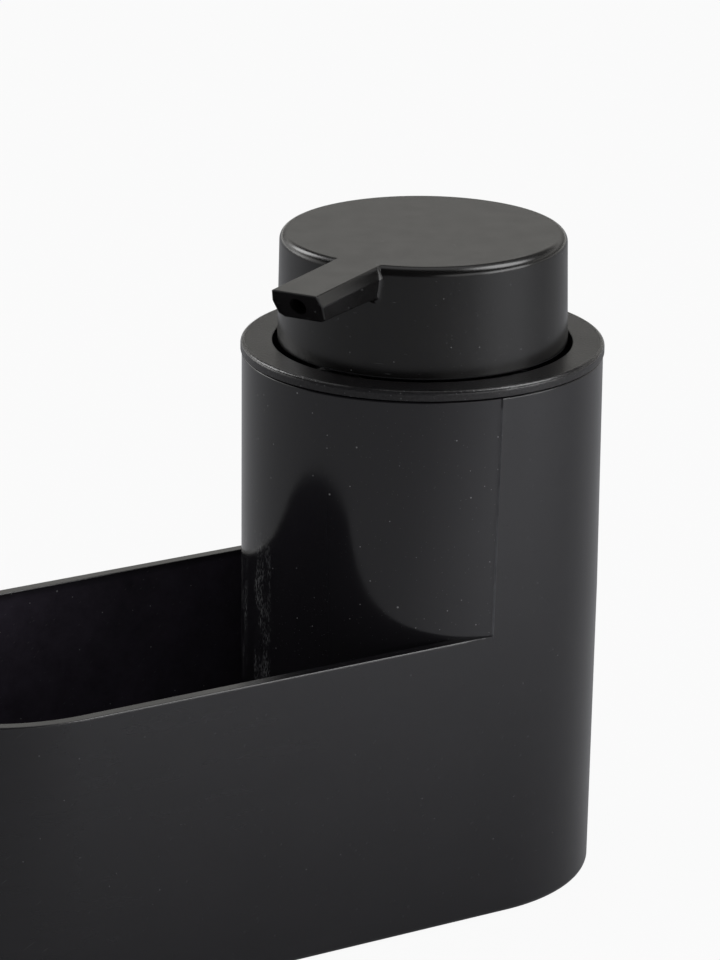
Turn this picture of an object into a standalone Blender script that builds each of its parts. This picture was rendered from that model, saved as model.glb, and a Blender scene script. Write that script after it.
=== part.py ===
"""Sink caddy with a built-in pump soap dispenser.

One long moulding stands on four rubber feet. Its left end is an open tray and its right
end is a tall round soap tower. A round lid with a deep well closes the tower and carries a
lotion pump, whose wide flat head has a spout in one piece with it.

Metres, +Z up. The origin is at the centre of the whole object, on the surface it stands on.
The tray lies towards -X and the front of the caddy faces -Y.
"""

import math

import bmesh
import bpy
from mathutils import Matrix, Vector

MM = 0.001

# Clearances, and the overrun that every cutter has past the face it opens
SEAT_GAP = 0.3 * MM
FIT_GAP = 0.3 * MM
OVERRUN = 1.0 * MM
WELD = 0.01 * MM

# How finely round shapes are drawn
WIDE_STEPS = 56
SMALL_STEPS = 24
HOLE_STEPS = 10
BALL_STEPS = 16
HALF_TURN_STEPS = WIDE_STEPS // 2
PARTING_STEPS = 5
ROUND_STEPS = 3
SHARP_ANGLE = math.radians(32)

# Caddy body, one moulding
CENTRE_SPACING = 110.5 * MM
BODY_HEIGHT = 127.3 * MM
BODY_TOP_R = 42.2 * MM
TRAY_HEIGHT = 70.4 * MM
RIM_THICK = 2.8 * MM
FLOOR_THICK = 2.6 * MM
BASE_RECESS = 1.6 * MM
BASE_EDGE = 3.2 * MM
BASE_ROUND = 1.5 * MM
TRAY_FLOOR_ROUND = 4.0 * MM
TOWER_DRAFT = math.radians(0.1)
BODY_DRAFT = math.radians(0.8)
TRAY_DRAFT = math.radians(1.0)
FACE_DRAFT = math.radians(0.2)
PARTING_BACK = 4.5 * MM
PARTING_LEAN = math.radians(1.5)
TOP_CHAMFER = 0.4 * MM
TOWER_WALL = 3.1 * MM
RESERVOIR_R = BODY_TOP_R - TOWER_WALL
RESERVOIR_DRAFT = math.radians(0.4)
RESERVOIR_FLOOR_ROUND = 3.0 * MM
RESERVOIR_LEAD = 0.5 * MM

# Rubber feet, pressed into bosses under the floor
FOOT_R = 6.0 * MM
FOOT_PROUD = 1.0 * MM
FOOT_THICK = 1.9 * MM
FOOT_ROUND = 0.5 * MM
FOOT_BOSS_WALL = 1.6 * MM
FOOT_OUT = 12.0 * MM
FOOT_INSET = 18.2 * MM
FOOT_ASIDE = BODY_TOP_R - FOOT_INSET

# Lid: a ring, a plug that enters the tower, and a well with a neck for the pump
LID_OVERHANG = 0.3 * MM
LID_R = BODY_TOP_R + LID_OVERHANG
LID_BAND = 2.35 * MM
LID_EDGE_ROUND = 0.7 * MM
LID_RING_WIDTH = 7.5 * MM
WELL_R = LID_R - LID_RING_WIDTH
WELL_EDGE_ROUND = 0.4 * MM
WELL_WALL = 2.0 * MM
WELL_DEPTH = 15.5 * MM
WELL_FLOOR = 2.2 * MM
WELL_CORNER = 1.2 * MM
PLUG_GAP = 0.35 * MM
PLUG_RIB = 1.2 * MM
PLUG_RIB_DROP = 2.6 * MM
NECK_R = 12.0 * MM
NECK_WALL = 2.8 * MM
NECK_HEIGHT = 6.5 * MM

# Soft seals
LID_SEAL_HEIGHT = 2.6 * MM
LID_SEAL_LIP = 0.8 * MM
GASKET_THICK = 1.2 * MM

# Pump housing, guide collar and threaded closure
HOUSING_FLANGE_R = 11.8 * MM
HOUSING_FLANGE = 1.4 * MM
HOUSING_WALL = 1.4 * MM
CHAMBER_R = 7.2 * MM
CHAMBER_DEPTH = 55.0 * MM
BALL_POCKET_R = 3.3 * MM
BALL_POCKET_DEPTH = 6.8 * MM
INLET_R = 1.9 * MM
INLET_WEB = 1.5 * MM
SOCKET_DEPTH = 11.0 * MM
SOCKET_WALL = 1.3 * MM
GUIDE_FLANGE_R = 10.6 * MM
GUIDE_FLANGE = 1.2 * MM
GUIDE_SLEEVE = 15.0 * MM
GUIDE_COLLAR_R = 6.6 * MM
GUIDE_COLLAR_RISE = 1.2 * MM
CLOSURE_WALL = 2.4 * MM
CLOSURE_WEB = 1.5 * MM
CLOSURE_LIFT = 0.8 * MM
CLOSURE_ROUND = 0.6 * MM

# Moving pump parts
PRESS_TRAVEL = 12.0 * MM
STEM_R = 3.8 * MM
STEM_BORE_R = 2.0 * MM
STEM_SHOULDER_R = 5.4 * MM
STEM_SHOULDER = 2.4 * MM
PISTON_HEIGHT = 6.4 * MM
PISTON_CORE_R = 5.9 * MM
PISTON_LIP = 1.4 * MM
ROD_R = 1.5 * MM
ROD_GRIP = 12.0 * MM
ROD_HEAD_R = 5.2 * MM
ROD_HEAD = 2.0 * MM
CAGE_THICK = 1.6 * MM
CAGE_HOLE_R = 1.0 * MM
CAGE_HOLE_PCD_R = 4.6 * MM
CAGE_HOLES = 4
BALL_R = 2.5 * MM
SPRING_R = 5.3 * MM
SPRING_WIRE_R = 0.45 * MM
SPRING_TURNS = 8
SPRING_STEPS_PER_TURN = 9
TUBE_R = 2.9 * MM
TUBE_WALL = 0.8 * MM
TUBE_FOOT_GAP = 2.5 * MM
TUBE_CUT = math.radians(35)

# Pump head with its spout
HEAD_GAP = 1.1 * MM
HEAD_R = WELL_R - HEAD_GAP
HEAD_HEIGHT = 26.0 * MM
HEAD_DRAFT = math.radians(1.15)
HEAD_TOP_ROUND = 1.8 * MM
HEAD_TOP_THICK = 2.3 * MM
HEAD_SKIRT_WALL = 2.1 * MM
HEAD_FOOT_ROUND = 0.4 * MM
BOSS_R = 6.2 * MM
BOSS_CLEAR = 0.6 * MM
STEM_SOCKET_ABOVE = 0.8 * MM
SPOUT_TURN = math.radians(-149.3)
SPOUT_LENGTH = 27.5 * MM
SPOUT_REACH = HEAD_R + SPOUT_LENGTH
SPOUT_TOP_HALF = 5.65 * MM
SPOUT_CREASE_HALF = 6.4 * MM
SPOUT_BOTTOM_HALF = 5.5 * MM
SPOUT_CREASE_DROP = 2.9 * MM
SPOUT_TIP_HEIGHT = 7.1 * MM
SPOUT_ROOT_HEIGHT = 7.8 * MM
SPOUT_CORNER = 0.8 * MM
SPOUT_FILLET = 2.0 * MM
SPOUT_UNDERCUT = math.radians(30)
NOZZLE_R = 2.0 * MM
NOZZLE_DROP = 3.5 * MM
DUCT_WALL = 1.2 * MM

# Places along X: the whole object is centred on the origin
RIM_R = BODY_TOP_R - (BODY_HEIGHT - TRAY_HEIGHT) * math.tan(TOWER_DRAFT)
PUMP_X = (CENTRE_SPACING + RIM_R - LID_R) / 2
TRAY_X = PUMP_X - CENTRE_SPACING

# Heights, from the surface up
BASE_Z = FOOT_PROUD
FLOOR_UNDER_Z = BASE_Z + BASE_RECESS
FLOOR_Z = FLOOR_UNDER_Z + FLOOR_THICK
RIM_Z = BASE_Z + TRAY_HEIGHT
BODY_TOP_Z = BASE_Z + BODY_HEIGHT
LID_UNDER_Z = BODY_TOP_Z + SEAT_GAP
LID_TOP_Z = LID_UNDER_Z + LID_BAND
WELL_Z = LID_TOP_Z - WELL_DEPTH
WELL_UNDER_Z = WELL_Z - WELL_FLOOR
NECK_TOP_Z = WELL_Z + NECK_HEIGHT
GASKET_Z = NECK_TOP_Z + SEAT_GAP
FLANGE_Z = GASKET_Z + GASKET_THICK + SEAT_GAP
FLANGE_TOP_Z = FLANGE_Z + HOUSING_FLANGE
GUIDE_Z = FLANGE_TOP_Z + SEAT_GAP
GUIDE_FLANGE_TOP_Z = GUIDE_Z + GUIDE_FLANGE
CLOSURE_WEB_Z = GUIDE_FLANGE_TOP_Z + SEAT_GAP
CLOSURE_TOP_Z = CLOSURE_WEB_Z + CLOSURE_WEB
GUIDE_TOP_Z = CLOSURE_TOP_Z + GUIDE_COLLAR_RISE
GUIDE_BOTTOM_Z = GUIDE_Z - GUIDE_SLEEVE
STEM_SHOULDER_Z = GUIDE_BOTTOM_Z - SEAT_GAP
STEM_BOTTOM_Z = STEM_SHOULDER_Z - STEM_SHOULDER
PISTON_TOP_Z = STEM_BOTTOM_Z - SEAT_GAP
PISTON_BOTTOM_Z = PISTON_TOP_Z - PISTON_HEIGHT
ROD_HEAD_TOP_Z = PISTON_BOTTOM_Z - SEAT_GAP
ROD_BOTTOM_Z = ROD_HEAD_TOP_Z - ROD_HEAD
CHAMBER_Z = FLANGE_TOP_Z - CHAMBER_DEPTH
CAGE_Z = CHAMBER_Z + SEAT_GAP
SPRING_FOOT_Z = CAGE_Z + CAGE_THICK + SEAT_GAP
SPRING_HEAD_Z = ROD_BOTTOM_Z - SEAT_GAP
POCKET_Z = CHAMBER_Z - BALL_POCKET_DEPTH
SOCKET_TOP_Z = POCKET_Z - INLET_WEB
SOCKET_BOTTOM_Z = SOCKET_TOP_Z - SOCKET_DEPTH
BALL_Z = POCKET_Z + math.sqrt(BALL_R**2 - INLET_R**2) + SEAT_GAP
HEAD_Z = LID_TOP_Z
HEAD_TOP_Z = HEAD_Z + HEAD_HEIGHT
HEAD_UNDER_Z = HEAD_TOP_Z - HEAD_TOP_THICK
NOZZLE_Z = HEAD_TOP_Z - NOZZLE_DROP
BOSS_Z = GUIDE_TOP_Z + PRESS_TRAVEL + BOSS_CLEAR
STEM_SOCKET_Z = NOZZLE_Z - NOZZLE_R - STEM_SOCKET_ABOVE
STEM_TOP_Z = STEM_SOCKET_Z - SEAT_GAP

# Colours, linear
BLACK = (0.007, 0.007, 0.0075)
HEAD_BLACK = (0.011, 0.011, 0.0105)
RUBBER_BLACK = (0.010, 0.010, 0.011)
SILICONE_GREY = (0.11, 0.11, 0.115)
NATURAL = (0.72, 0.73, 0.71)
FOAM_WHITE = (0.82, 0.82, 0.80)
STEEL = (0.56, 0.57, 0.58)


def clear_scene():
    for old in list(bpy.data.objects):
        bpy.data.objects.remove(old, do_unlink=True)


def new_collection(name):
    collection = bpy.data.collections.new(name)
    bpy.context.scene.collection.children.link(collection)
    return collection


def new_material(name, colour, roughness, metallic=0.0):
    material = bpy.data.materials.new(name)
    material.use_nodes = True
    shader = material.node_tree.nodes["Principled BSDF"]
    shader.inputs["Base Color"].default_value = (*colour, 1.0)
    shader.inputs["Roughness"].default_value = roughness
    shader.inputs["Metallic"].default_value = metallic
    return material


def place(obj, collection, material):
    collection.objects.link(obj)
    if material:
        obj.data.materials.append(material)
    else:
        obj.hide_render = True
        obj.display_type = "WIRE"
    return obj


def new_axis(name, collection, parent=None):
    """An empty on the pump's axis, at the foot of the object."""
    axis = bpy.data.objects.new(name, None)
    collection.objects.link(axis)
    axis.location = (0, 0, 0) if parent else (PUMP_X, 0, 0)
    axis.parent = parent
    return axis


def turned(name, profile, collection, material=None, steps=WIDE_STEPS, parent=None):
    """A solid turned about its own Z axis. The profile (r, z) runs down its outer side."""
    closed = all(r > 0 for r, _ in profile)
    points = [(r, 0, z) for r, z in profile]
    edges = [(i, i + 1) for i in range(len(points) - 1)]
    if closed:
        edges.append((len(points) - 1, 0))
    mesh = bpy.data.meshes.new(name)
    mesh.from_pydata(points, edges, [])
    obj = place(bpy.data.objects.new(name, mesh), collection, material)
    if parent:
        obj.parent = parent
    screw = obj.modifiers.new("turn", "SCREW")
    screw.steps = steps
    screw.render_steps = steps
    screw.use_merge_vertices = True
    screw.merge_threshold = WELD
    screw.use_smooth_shade = True
    return obj


def lofted(name, sections, collection, material=None, parent=None):
    """A closed solid through sections of equal point counts, capped at both ends."""
    mesh = bpy.data.meshes.new(name)
    shape = bmesh.new()
    rings = [[shape.verts.new(point) for point in section] for section in sections]
    for low, high in zip(rings, rings[1:]):
        for i in range(len(low)):
            j = (i + 1) % len(low)
            shape.faces.new((low[i], low[j], high[j], high[i]))
    shape.faces.new(list(reversed(rings[0])))
    shape.faces.new(rings[-1])
    bmesh.ops.recalc_face_normals(shape, faces=shape.faces)
    shape.to_mesh(mesh)
    shape.free()
    mesh.shade_smooth()
    mesh.set_sharp_from_angle(angle=SHARP_ANGLE)
    obj = place(bpy.data.objects.new(name, mesh), collection, material)
    if parent:
        obj.parent = parent
    return obj


def rod(name, radius, start, end, collection, material=None, steps=SMALL_STEPS, parent=None):
    """A round bar between two points."""
    start, end = Vector(start), Vector(end)
    along = end - start
    turn = along.to_track_quat("Z", "Y").to_matrix().to_4x4()
    mesh = bpy.data.meshes.new(name)
    shape = bmesh.new()
    bmesh.ops.create_cone(
        shape,
        cap_ends=True,
        segments=steps,
        radius1=radius,
        radius2=radius,
        depth=along.length,
        matrix=Matrix.Translation((start + end) / 2) @ turn,
    )
    shape.to_mesh(mesh)
    shape.free()
    mesh.shade_smooth()
    mesh.set_sharp_from_angle(angle=SHARP_ANGLE)
    obj = place(bpy.data.objects.new(name, mesh), collection, material)
    if parent:
        obj.parent = parent
    return obj


def boolean(obj, other, operation):
    modifier = obj.modifiers.new(f"{operation.lower()} {other.name}", "BOOLEAN")
    modifier.operation = operation
    modifier.object = other


def arc(centre, radius, start, end, steps):
    """Points of a plan arc from one angle to another, both ends included."""
    x, y = centre
    angles = [start + (end - start) * i / steps for i in range(steps + 1)]
    return [(x + radius * math.cos(a), y + radius * math.sin(a)) for a in angles]


def rounded(centre, radius, start, end):
    """Points (r, z) of a small round in a turned profile."""
    return arc(centre, radius, math.radians(start), math.radians(end), ROUND_STEPS)


def at_height(outline, z):
    return [(x, y, z) for x, y in outline]


# The caddy body


def outer_radius(z):
    """Radius of the body's round ends: nearly straight above the rim, drafted below it."""
    upper = BODY_TOP_R - (BODY_TOP_Z - max(z, RIM_Z)) * math.tan(TOWER_DRAFT)
    return upper - max(RIM_Z - z, 0) * math.tan(BODY_DRAFT)


def stadium(z, inset):
    """Plan outline with a half round at the tower end and another at the tray end."""
    radius = outer_radius(z) - inset
    quarter = math.pi / 2
    tower = arc((PUMP_X, 0), radius, -quarter, quarter, HALF_TURN_STEPS)
    tray = arc((TRAY_X, 0), radius, quarter, 3 * quarter, HALF_TURN_STEPS)
    return at_height(tower + tray, z)


def face_centre_x(z):
    """The tower's tray side leans towards the tray on its way down."""
    return PUMP_X - (BODY_TOP_Z - z) * math.tan(FACE_DRAFT)


def face_points(z, radius, turns):
    """Points of the tower's tray side, by their angle from -X, which runs from -Y to +Y."""
    x = face_centre_x(z)
    return [(x - radius * math.cos(a), radius * math.sin(a)) for a in turns]


def face_turns(spread):
    count = 2 * HALF_TURN_STEPS
    return [spread * (2 * i / count - 1) for i in range(count + 1)]


def tray_half_width(z):
    return RIM_R - RIM_THICK - (RIM_Z - z) * math.tan(TRAY_DRAFT)


def body_blank(collection, material):
    sections = []
    for i in range(ROUND_STEPS + 1):
        a = math.pi / 2 * i / ROUND_STEPS
        z = BASE_Z + BASE_ROUND * (1 - math.cos(a))
        sections.append(stadium(z, BASE_ROUND * (1 - math.sin(a))))
    sections.append(stadium(RIM_Z, 0))
    sections.append(stadium(BODY_TOP_Z - TOP_CHAMFER, 0))
    sections.append(stadium(BODY_TOP_Z, TOP_CHAMFER))
    return lofted("caddy_body", sections, collection, material)


def above_rim_section(z, inset):
    """Everything beside and behind the tower on the tray side of the parting line."""
    radius = BODY_TOP_R - inset
    parting_x = PUMP_X - PARTING_BACK - (BODY_TOP_Z - z) * math.tan(PARTING_LEAN)
    beside = BODY_TOP_R + OVERRUN
    beyond = TRAY_X - beside
    shared = math.asin(tray_half_width(RIM_Z) / BODY_TOP_R)
    parting = math.acos((face_centre_x(z) - parting_x) / radius)
    extra = [parting + (shared - parting) * i / PARTING_STEPS for i in range(PARTING_STEPS)]
    turns = [-a for a in extra] + face_turns(shared) + list(reversed(extra))
    corners = [(parting_x, beside), (beyond, beside), (beyond, -beside), (parting_x, -beside)]
    return at_height(face_points(z, radius, turns) + corners, z)


def cut_above_rim(cutters):
    chamfer_z = BODY_TOP_Z - TOP_CHAMFER
    sections = [
        above_rim_section(RIM_Z, 0),
        above_rim_section(chamfer_z, 0),
        above_rim_section(BODY_TOP_Z, TOP_CHAMFER),
        above_rim_section(BODY_TOP_Z + OVERRUN, TOP_CHAMFER + OVERRUN),
    ]
    return lofted("cut_above_rim", sections, cutters)


def tray_section(z, inset, face_inset):
    half = tray_half_width(z) - inset
    radius = BODY_TOP_R + face_inset
    quarter = math.pi / 2
    face = face_points(z, radius, face_turns(math.asin(half / radius)))
    end = arc((TRAY_X, 0), half, quarter, 3 * quarter, HALF_TURN_STEPS)
    return at_height(face + end, z)


def cut_tray(cutters):
    sections = []
    for i in range(ROUND_STEPS + 1):
        a = math.pi / 2 * i / ROUND_STEPS
        z = FLOOR_Z + TRAY_FLOOR_ROUND * (1 - math.cos(a))
        inset = TRAY_FLOOR_ROUND * (1 - math.sin(a))
        sections.append(tray_section(z, inset, inset))
    sections.append(tray_section(RIM_Z, 0, 0))
    sections.append(tray_section(RIM_Z + OVERRUN, 0, OVERRUN))
    return lofted("cut_tray", sections, cutters)


def cut_reservoir(cutters, axis):
    lead_z = BODY_TOP_Z - RESERVOIR_LEAD
    floor_r = RESERVOIR_R - (BODY_TOP_Z - FLOOR_Z) * math.tan(RESERVOIR_DRAFT)
    corner = (floor_r - RESERVOIR_FLOOR_ROUND, FLOOR_Z + RESERVOIR_FLOOR_ROUND)
    mouth_r = RESERVOIR_R + RESERVOIR_LEAD + OVERRUN
    profile = [(0, BODY_TOP_Z + OVERRUN), (mouth_r, BODY_TOP_Z + OVERRUN)]
    profile += [(RESERVOIR_R, lead_z)]
    profile += rounded(corner, RESERVOIR_FLOOR_ROUND, 0, -90)
    profile += [(0, FLOOR_Z)]
    return turned("cut_reservoir", profile, cutters, parent=axis)


def foot_places():
    xs = (TRAY_X - FOOT_OUT, PUMP_X + FOOT_OUT)
    return [(x, y) for x in xs for y in (-FOOT_ASIDE, FOOT_ASIDE)]


def cut_base(cutters):
    """The shallow recess under the floor, which leaves a boss standing round each foot."""
    sections = [stadium(BASE_Z - OVERRUN, BASE_EDGE), stadium(FLOOR_UNDER_Z, BASE_EDGE)]
    recess = lofted("cut_base", sections, cutters)
    boss_r = FOOT_R + FIT_GAP + FOOT_BOSS_WALL
    boss_z = BASE_Z + SEAT_GAP
    for i, (x, y) in enumerate(foot_places(), 1):
        top = (x, y, FLOOR_Z)
        boss = rod(f"keep_boss_{i}", boss_r, (x, y, boss_z), top, cutters)
        boolean(recess, boss, "DIFFERENCE")
    return recess


def caddy_body(parts, cutters, axis, material):
    body = body_blank(parts, material)
    boolean(body, cut_above_rim(cutters), "DIFFERENCE")
    boolean(body, cut_tray(cutters), "DIFFERENCE")
    boolean(body, cut_reservoir(cutters, axis), "DIFFERENCE")
    boolean(body, cut_base(cutters), "DIFFERENCE")
    socket_z = FOOT_THICK + SEAT_GAP
    for i, (x, y) in enumerate(foot_places(), 1):
        mouth = (x, y, BASE_Z - OVERRUN)
        socket = rod(f"cut_foot_{i}", FOOT_R + FIT_GAP, mouth, (x, y, socket_z), cutters)
        boolean(body, socket, "DIFFERENCE")
    return body


def feet(parts, material):
    for i, (x, y) in enumerate(foot_places(), 1):
        edge = (FOOT_R - FOOT_ROUND, FOOT_ROUND)
        profile = [(0, FOOT_THICK), (FOOT_R, FOOT_THICK)]
        profile += rounded(edge, FOOT_ROUND, 0, -90)
        profile += [(0, 0)]
        foot = turned(f"foot_{i}", profile, parts, material, SMALL_STEPS)
        foot.location = (x, y, 0)


# The lid and its seals


def plug_radius():
    return RESERVOIR_R - PLUG_GAP


def lid_seal_z():
    """Underside of the groove between the lid plug's two ribs."""
    return LID_UNDER_Z - PLUG_RIB_DROP - PLUG_RIB - LID_SEAL_HEIGHT - 2 * SEAT_GAP


def lid(parts, axis, material):
    wall_r = WELL_R + WELL_WALL
    plug_r = plug_radius()
    groove_z = lid_seal_z()
    rib_z = LID_UNDER_Z - PLUG_RIB_DROP
    neck_in = NECK_R - NECK_WALL
    hole = (WELL_R + WELL_EDGE_ROUND, LID_TOP_Z - WELL_EDGE_ROUND)
    edge = (LID_R - LID_EDGE_ROUND, LID_TOP_Z - LID_EDGE_ROUND)
    outside = (wall_r - WELL_CORNER, WELL_UNDER_Z + WELL_CORNER)
    inside = (WELL_R - WELL_CORNER, WELL_Z + WELL_CORNER)
    profile = rounded(hole, WELL_EDGE_ROUND, 180, 90) + rounded(edge, LID_EDGE_ROUND, 90, 0)
    profile += [(LID_R, LID_UNDER_Z), (wall_r, LID_UNDER_Z)]
    profile += [(wall_r, rib_z), (plug_r, rib_z), (plug_r, rib_z - PLUG_RIB)]
    profile += [(wall_r, rib_z - PLUG_RIB), (wall_r, groove_z)]
    profile += [(plug_r, groove_z), (plug_r, groove_z - PLUG_RIB), (wall_r, groove_z - PLUG_RIB)]
    profile += rounded(outside, WELL_CORNER, 0, -90)
    profile += [(neck_in, WELL_UNDER_Z), (neck_in, NECK_TOP_Z), (NECK_R, NECK_TOP_Z)]
    profile += [(NECK_R, WELL_Z)]
    profile += rounded(inside, WELL_CORNER, -90, 0)
    return turned("lid", profile, parts, material, parent=axis)


def lid_seal(parts, axis, material):
    inner = WELL_R + WELL_WALL + FIT_GAP
    outer = plug_radius()
    low = lid_seal_z() + SEAT_GAP
    high = low + LID_SEAL_HEIGHT
    back = outer - LID_SEAL_LIP
    waist = (low + high) / 2
    profile = [(inner, high), (outer, high), (back, waist), (outer, low), (inner, low)]
    return turned("lid_seal", profile, parts, material, parent=axis)


def neck_gasket(parts, axis, material):
    top = GASKET_Z + GASKET_THICK
    inner = NECK_R - NECK_WALL
    outer = HOUSING_FLANGE_R
    profile = [(inner, top), (outer, top), (outer, GASKET_Z), (inner, GASKET_Z)]
    return turned("neck_gasket", profile, parts, material, SMALL_STEPS, axis)


# The fixed pump parts


def pump_housing(parts, axis, material):
    """Flange, chamber, ball pocket and dip tube socket, open from end to end."""
    outer = CHAMBER_R + HOUSING_WALL
    tube_bore = TUBE_R + FIT_GAP
    nose_r = tube_bore + SOCKET_WALL
    profile = [(CHAMBER_R, FLANGE_TOP_Z), (HOUSING_FLANGE_R, FLANGE_TOP_Z)]
    profile += [(HOUSING_FLANGE_R, FLANGE_Z), (outer, FLANGE_Z), (outer, CHAMBER_Z)]
    profile += [(nose_r, POCKET_Z), (nose_r, SOCKET_BOTTOM_Z), (tube_bore, SOCKET_BOTTOM_Z)]
    profile += [(tube_bore, SOCKET_TOP_Z), (INLET_R, SOCKET_TOP_Z), (INLET_R, POCKET_Z)]
    profile += [(BALL_POCKET_R, POCKET_Z), (BALL_POCKET_R, CHAMBER_Z), (CHAMBER_R, CHAMBER_Z)]
    return turned("pump_housing", profile, parts, material, SMALL_STEPS, axis)


def guide_collar(parts, axis, material):
    """Snaps into the housing, guides the stem and stops its shoulder."""
    bore = STEM_R + FIT_GAP
    sleeve = CHAMBER_R - FIT_GAP
    profile = [(bore, GUIDE_TOP_Z), (GUIDE_COLLAR_R, GUIDE_TOP_Z)]
    profile += [(GUIDE_COLLAR_R, GUIDE_FLANGE_TOP_Z), (GUIDE_FLANGE_R, GUIDE_FLANGE_TOP_Z)]
    profile += [(GUIDE_FLANGE_R, GUIDE_Z), (sleeve, GUIDE_Z)]
    profile += [(sleeve, GUIDE_BOTTOM_Z), (bore, GUIDE_BOTTOM_Z)]
    return turned("guide_collar", profile, parts, material, SMALL_STEPS, axis)


def closure_nut(parts, axis, material):
    bore = NECK_R + FIT_GAP
    outer = bore + CLOSURE_WALL
    hole = GUIDE_COLLAR_R + FIT_GAP
    low = WELL_Z + CLOSURE_LIFT
    edge = (outer - CLOSURE_ROUND, CLOSURE_TOP_Z - CLOSURE_ROUND)
    profile = [(hole, CLOSURE_TOP_Z)] + rounded(edge, CLOSURE_ROUND, 90, 0)
    profile += [(outer, low), (bore, low), (bore, CLOSURE_WEB_Z), (hole, CLOSURE_WEB_Z)]
    return turned("closure_nut", profile, parts, material, SMALL_STEPS, axis)


def ball_cage(parts, cutters, axis, material):
    """The disc over the ball pocket that keeps the ball in and carries the spring."""
    top = CAGE_Z + CAGE_THICK
    outer = CHAMBER_R - FIT_GAP
    profile = [(0, top), (outer, top), (outer, CAGE_Z), (0, CAGE_Z)]
    disc = turned("ball_cage", profile, parts, material, SMALL_STEPS, axis)
    for i in range(CAGE_HOLES):
        a = 2 * math.pi * i / CAGE_HOLES
        x, y = CAGE_HOLE_PCD_R * math.cos(a), CAGE_HOLE_PCD_R * math.sin(a)
        low, high = (x, y, CAGE_Z - OVERRUN), (x, y, top + OVERRUN)
        hole = rod(f"cut_cage_{i + 1}", CAGE_HOLE_R, low, high, cutters, None, HOLE_STEPS, axis)
        boolean(disc, hole, "DIFFERENCE")
    return disc


def inlet_ball(parts, axis, material):
    mesh = bpy.data.meshes.new("inlet_ball")
    shape = bmesh.new()
    bmesh.ops.create_uvsphere(
        shape, u_segments=BALL_STEPS, v_segments=BALL_STEPS // 2, radius=BALL_R
    )
    shape.to_mesh(mesh)
    shape.free()
    mesh.shade_smooth()
    ball = place(bpy.data.objects.new("inlet_ball", mesh), parts, material)
    ball.location = (0, 0, BALL_Z)
    ball.parent = axis
    return ball


def dip_tube(parts, cutters, axis, material):
    """A plain tube whose foot is cut at a slant, so that it can't seal on the floor."""
    inner = TUBE_R - TUBE_WALL
    top = SOCKET_TOP_Z - SEAT_GAP
    foot = FLOOR_Z + TUBE_FOOT_GAP
    profile = [(inner, top), (TUBE_R, top), (TUBE_R, foot), (inner, foot)]
    tube = turned("dip_tube", profile, parts, material, SMALL_STEPS, axis)
    rise = 2 * TUBE_R * math.tan(TUBE_CUT)
    side = TUBE_R + OVERRUN
    slope = OVERRUN * math.tan(TUBE_CUT)
    low = foot - rise
    wedge = [(-side, foot - slope), (-side, low), (side, low), (side, foot + rise + slope)]
    sections = [[(x, y, z) for x, z in wedge] for y in (side, -side)]
    boolean(tube, lofted("cut_tube_foot", sections, cutters, parent=axis), "DIFFERENCE")
    return tube


# The moving pump parts


def stem(parts, axis, material):
    profile = [(STEM_BORE_R, STEM_TOP_Z), (STEM_R, STEM_TOP_Z), (STEM_R, STEM_SHOULDER_Z)]
    profile += [(STEM_SHOULDER_R, STEM_SHOULDER_Z), (STEM_SHOULDER_R, STEM_BOTTOM_Z)]
    profile += [(STEM_BORE_R, STEM_BOTTOM_Z)]
    return turned("stem", profile, parts, material, SMALL_STEPS, axis)


def piston_seal(parts, axis, material):
    """A sleeve with a feathered lip at each end, which wipes the chamber wall."""
    bore = ROD_R + FIT_GAP
    lip = CHAMBER_R - FIT_GAP
    profile = [(bore, PISTON_TOP_Z), (PISTON_CORE_R, PISTON_TOP_Z), (lip, PISTON_TOP_Z)]
    profile += [(PISTON_CORE_R, PISTON_TOP_Z - PISTON_LIP)]
    profile += [(PISTON_CORE_R, PISTON_BOTTOM_Z + PISTON_LIP), (lip, PISTON_BOTTOM_Z)]
    profile += [(bore, PISTON_BOTTOM_Z)]
    return turned("piston_seal", profile, parts, material, SMALL_STEPS, axis)


def piston_rod(parts, axis, material):
    top = STEM_BOTTOM_Z + ROD_GRIP
    profile = [(0, top), (ROD_R, top), (ROD_R, ROD_HEAD_TOP_Z), (ROD_HEAD_R, ROD_HEAD_TOP_Z)]
    profile += [(ROD_HEAD_R, ROD_BOTTOM_Z), (0, ROD_BOTTOM_Z)]
    return turned("piston_rod", profile, parts, material, SMALL_STEPS, axis)


def return_spring(parts, axis, material):
    """A helix whose first and last turns lie flat as closed end coils."""
    low = SPRING_FOOT_Z + SPRING_WIRE_R
    high = SPRING_HEAD_Z - SPRING_WIRE_R
    pitch_closed = 2 * SPRING_WIRE_R + FIT_GAP + SEAT_GAP
    count = SPRING_TURNS * SPRING_STEPS_PER_TURN
    curve = bpy.data.curves.new("return_spring", "CURVE")
    curve.dimensions = "3D"
    curve.bevel_depth = SPRING_WIRE_R
    curve.bevel_resolution = 1
    curve.use_fill_caps = True
    spline = curve.splines.new("POLY")
    spline.points.add(count)
    for i in range(count + 1):
        turn = i / SPRING_STEPS_PER_TURN
        body = min(max(turn - 1, 0), SPRING_TURNS - 2) / (SPRING_TURNS - 2)
        ends = min(turn, 1) + max(turn - SPRING_TURNS + 1, 0)
        z = low + ends * pitch_closed + body * (high - low - 2 * pitch_closed)
        a = 2 * math.pi * turn
        spline.points[i].co = (SPRING_R * math.cos(a), SPRING_R * math.sin(a), z, 1)
    spring = place(bpy.data.objects.new("return_spring", curve), parts, material)
    spring.parent = axis
    return spring


# The pump head


def head_radius(z):
    return HEAD_R - (z - HEAD_Z) * math.tan(HEAD_DRAFT)


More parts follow.
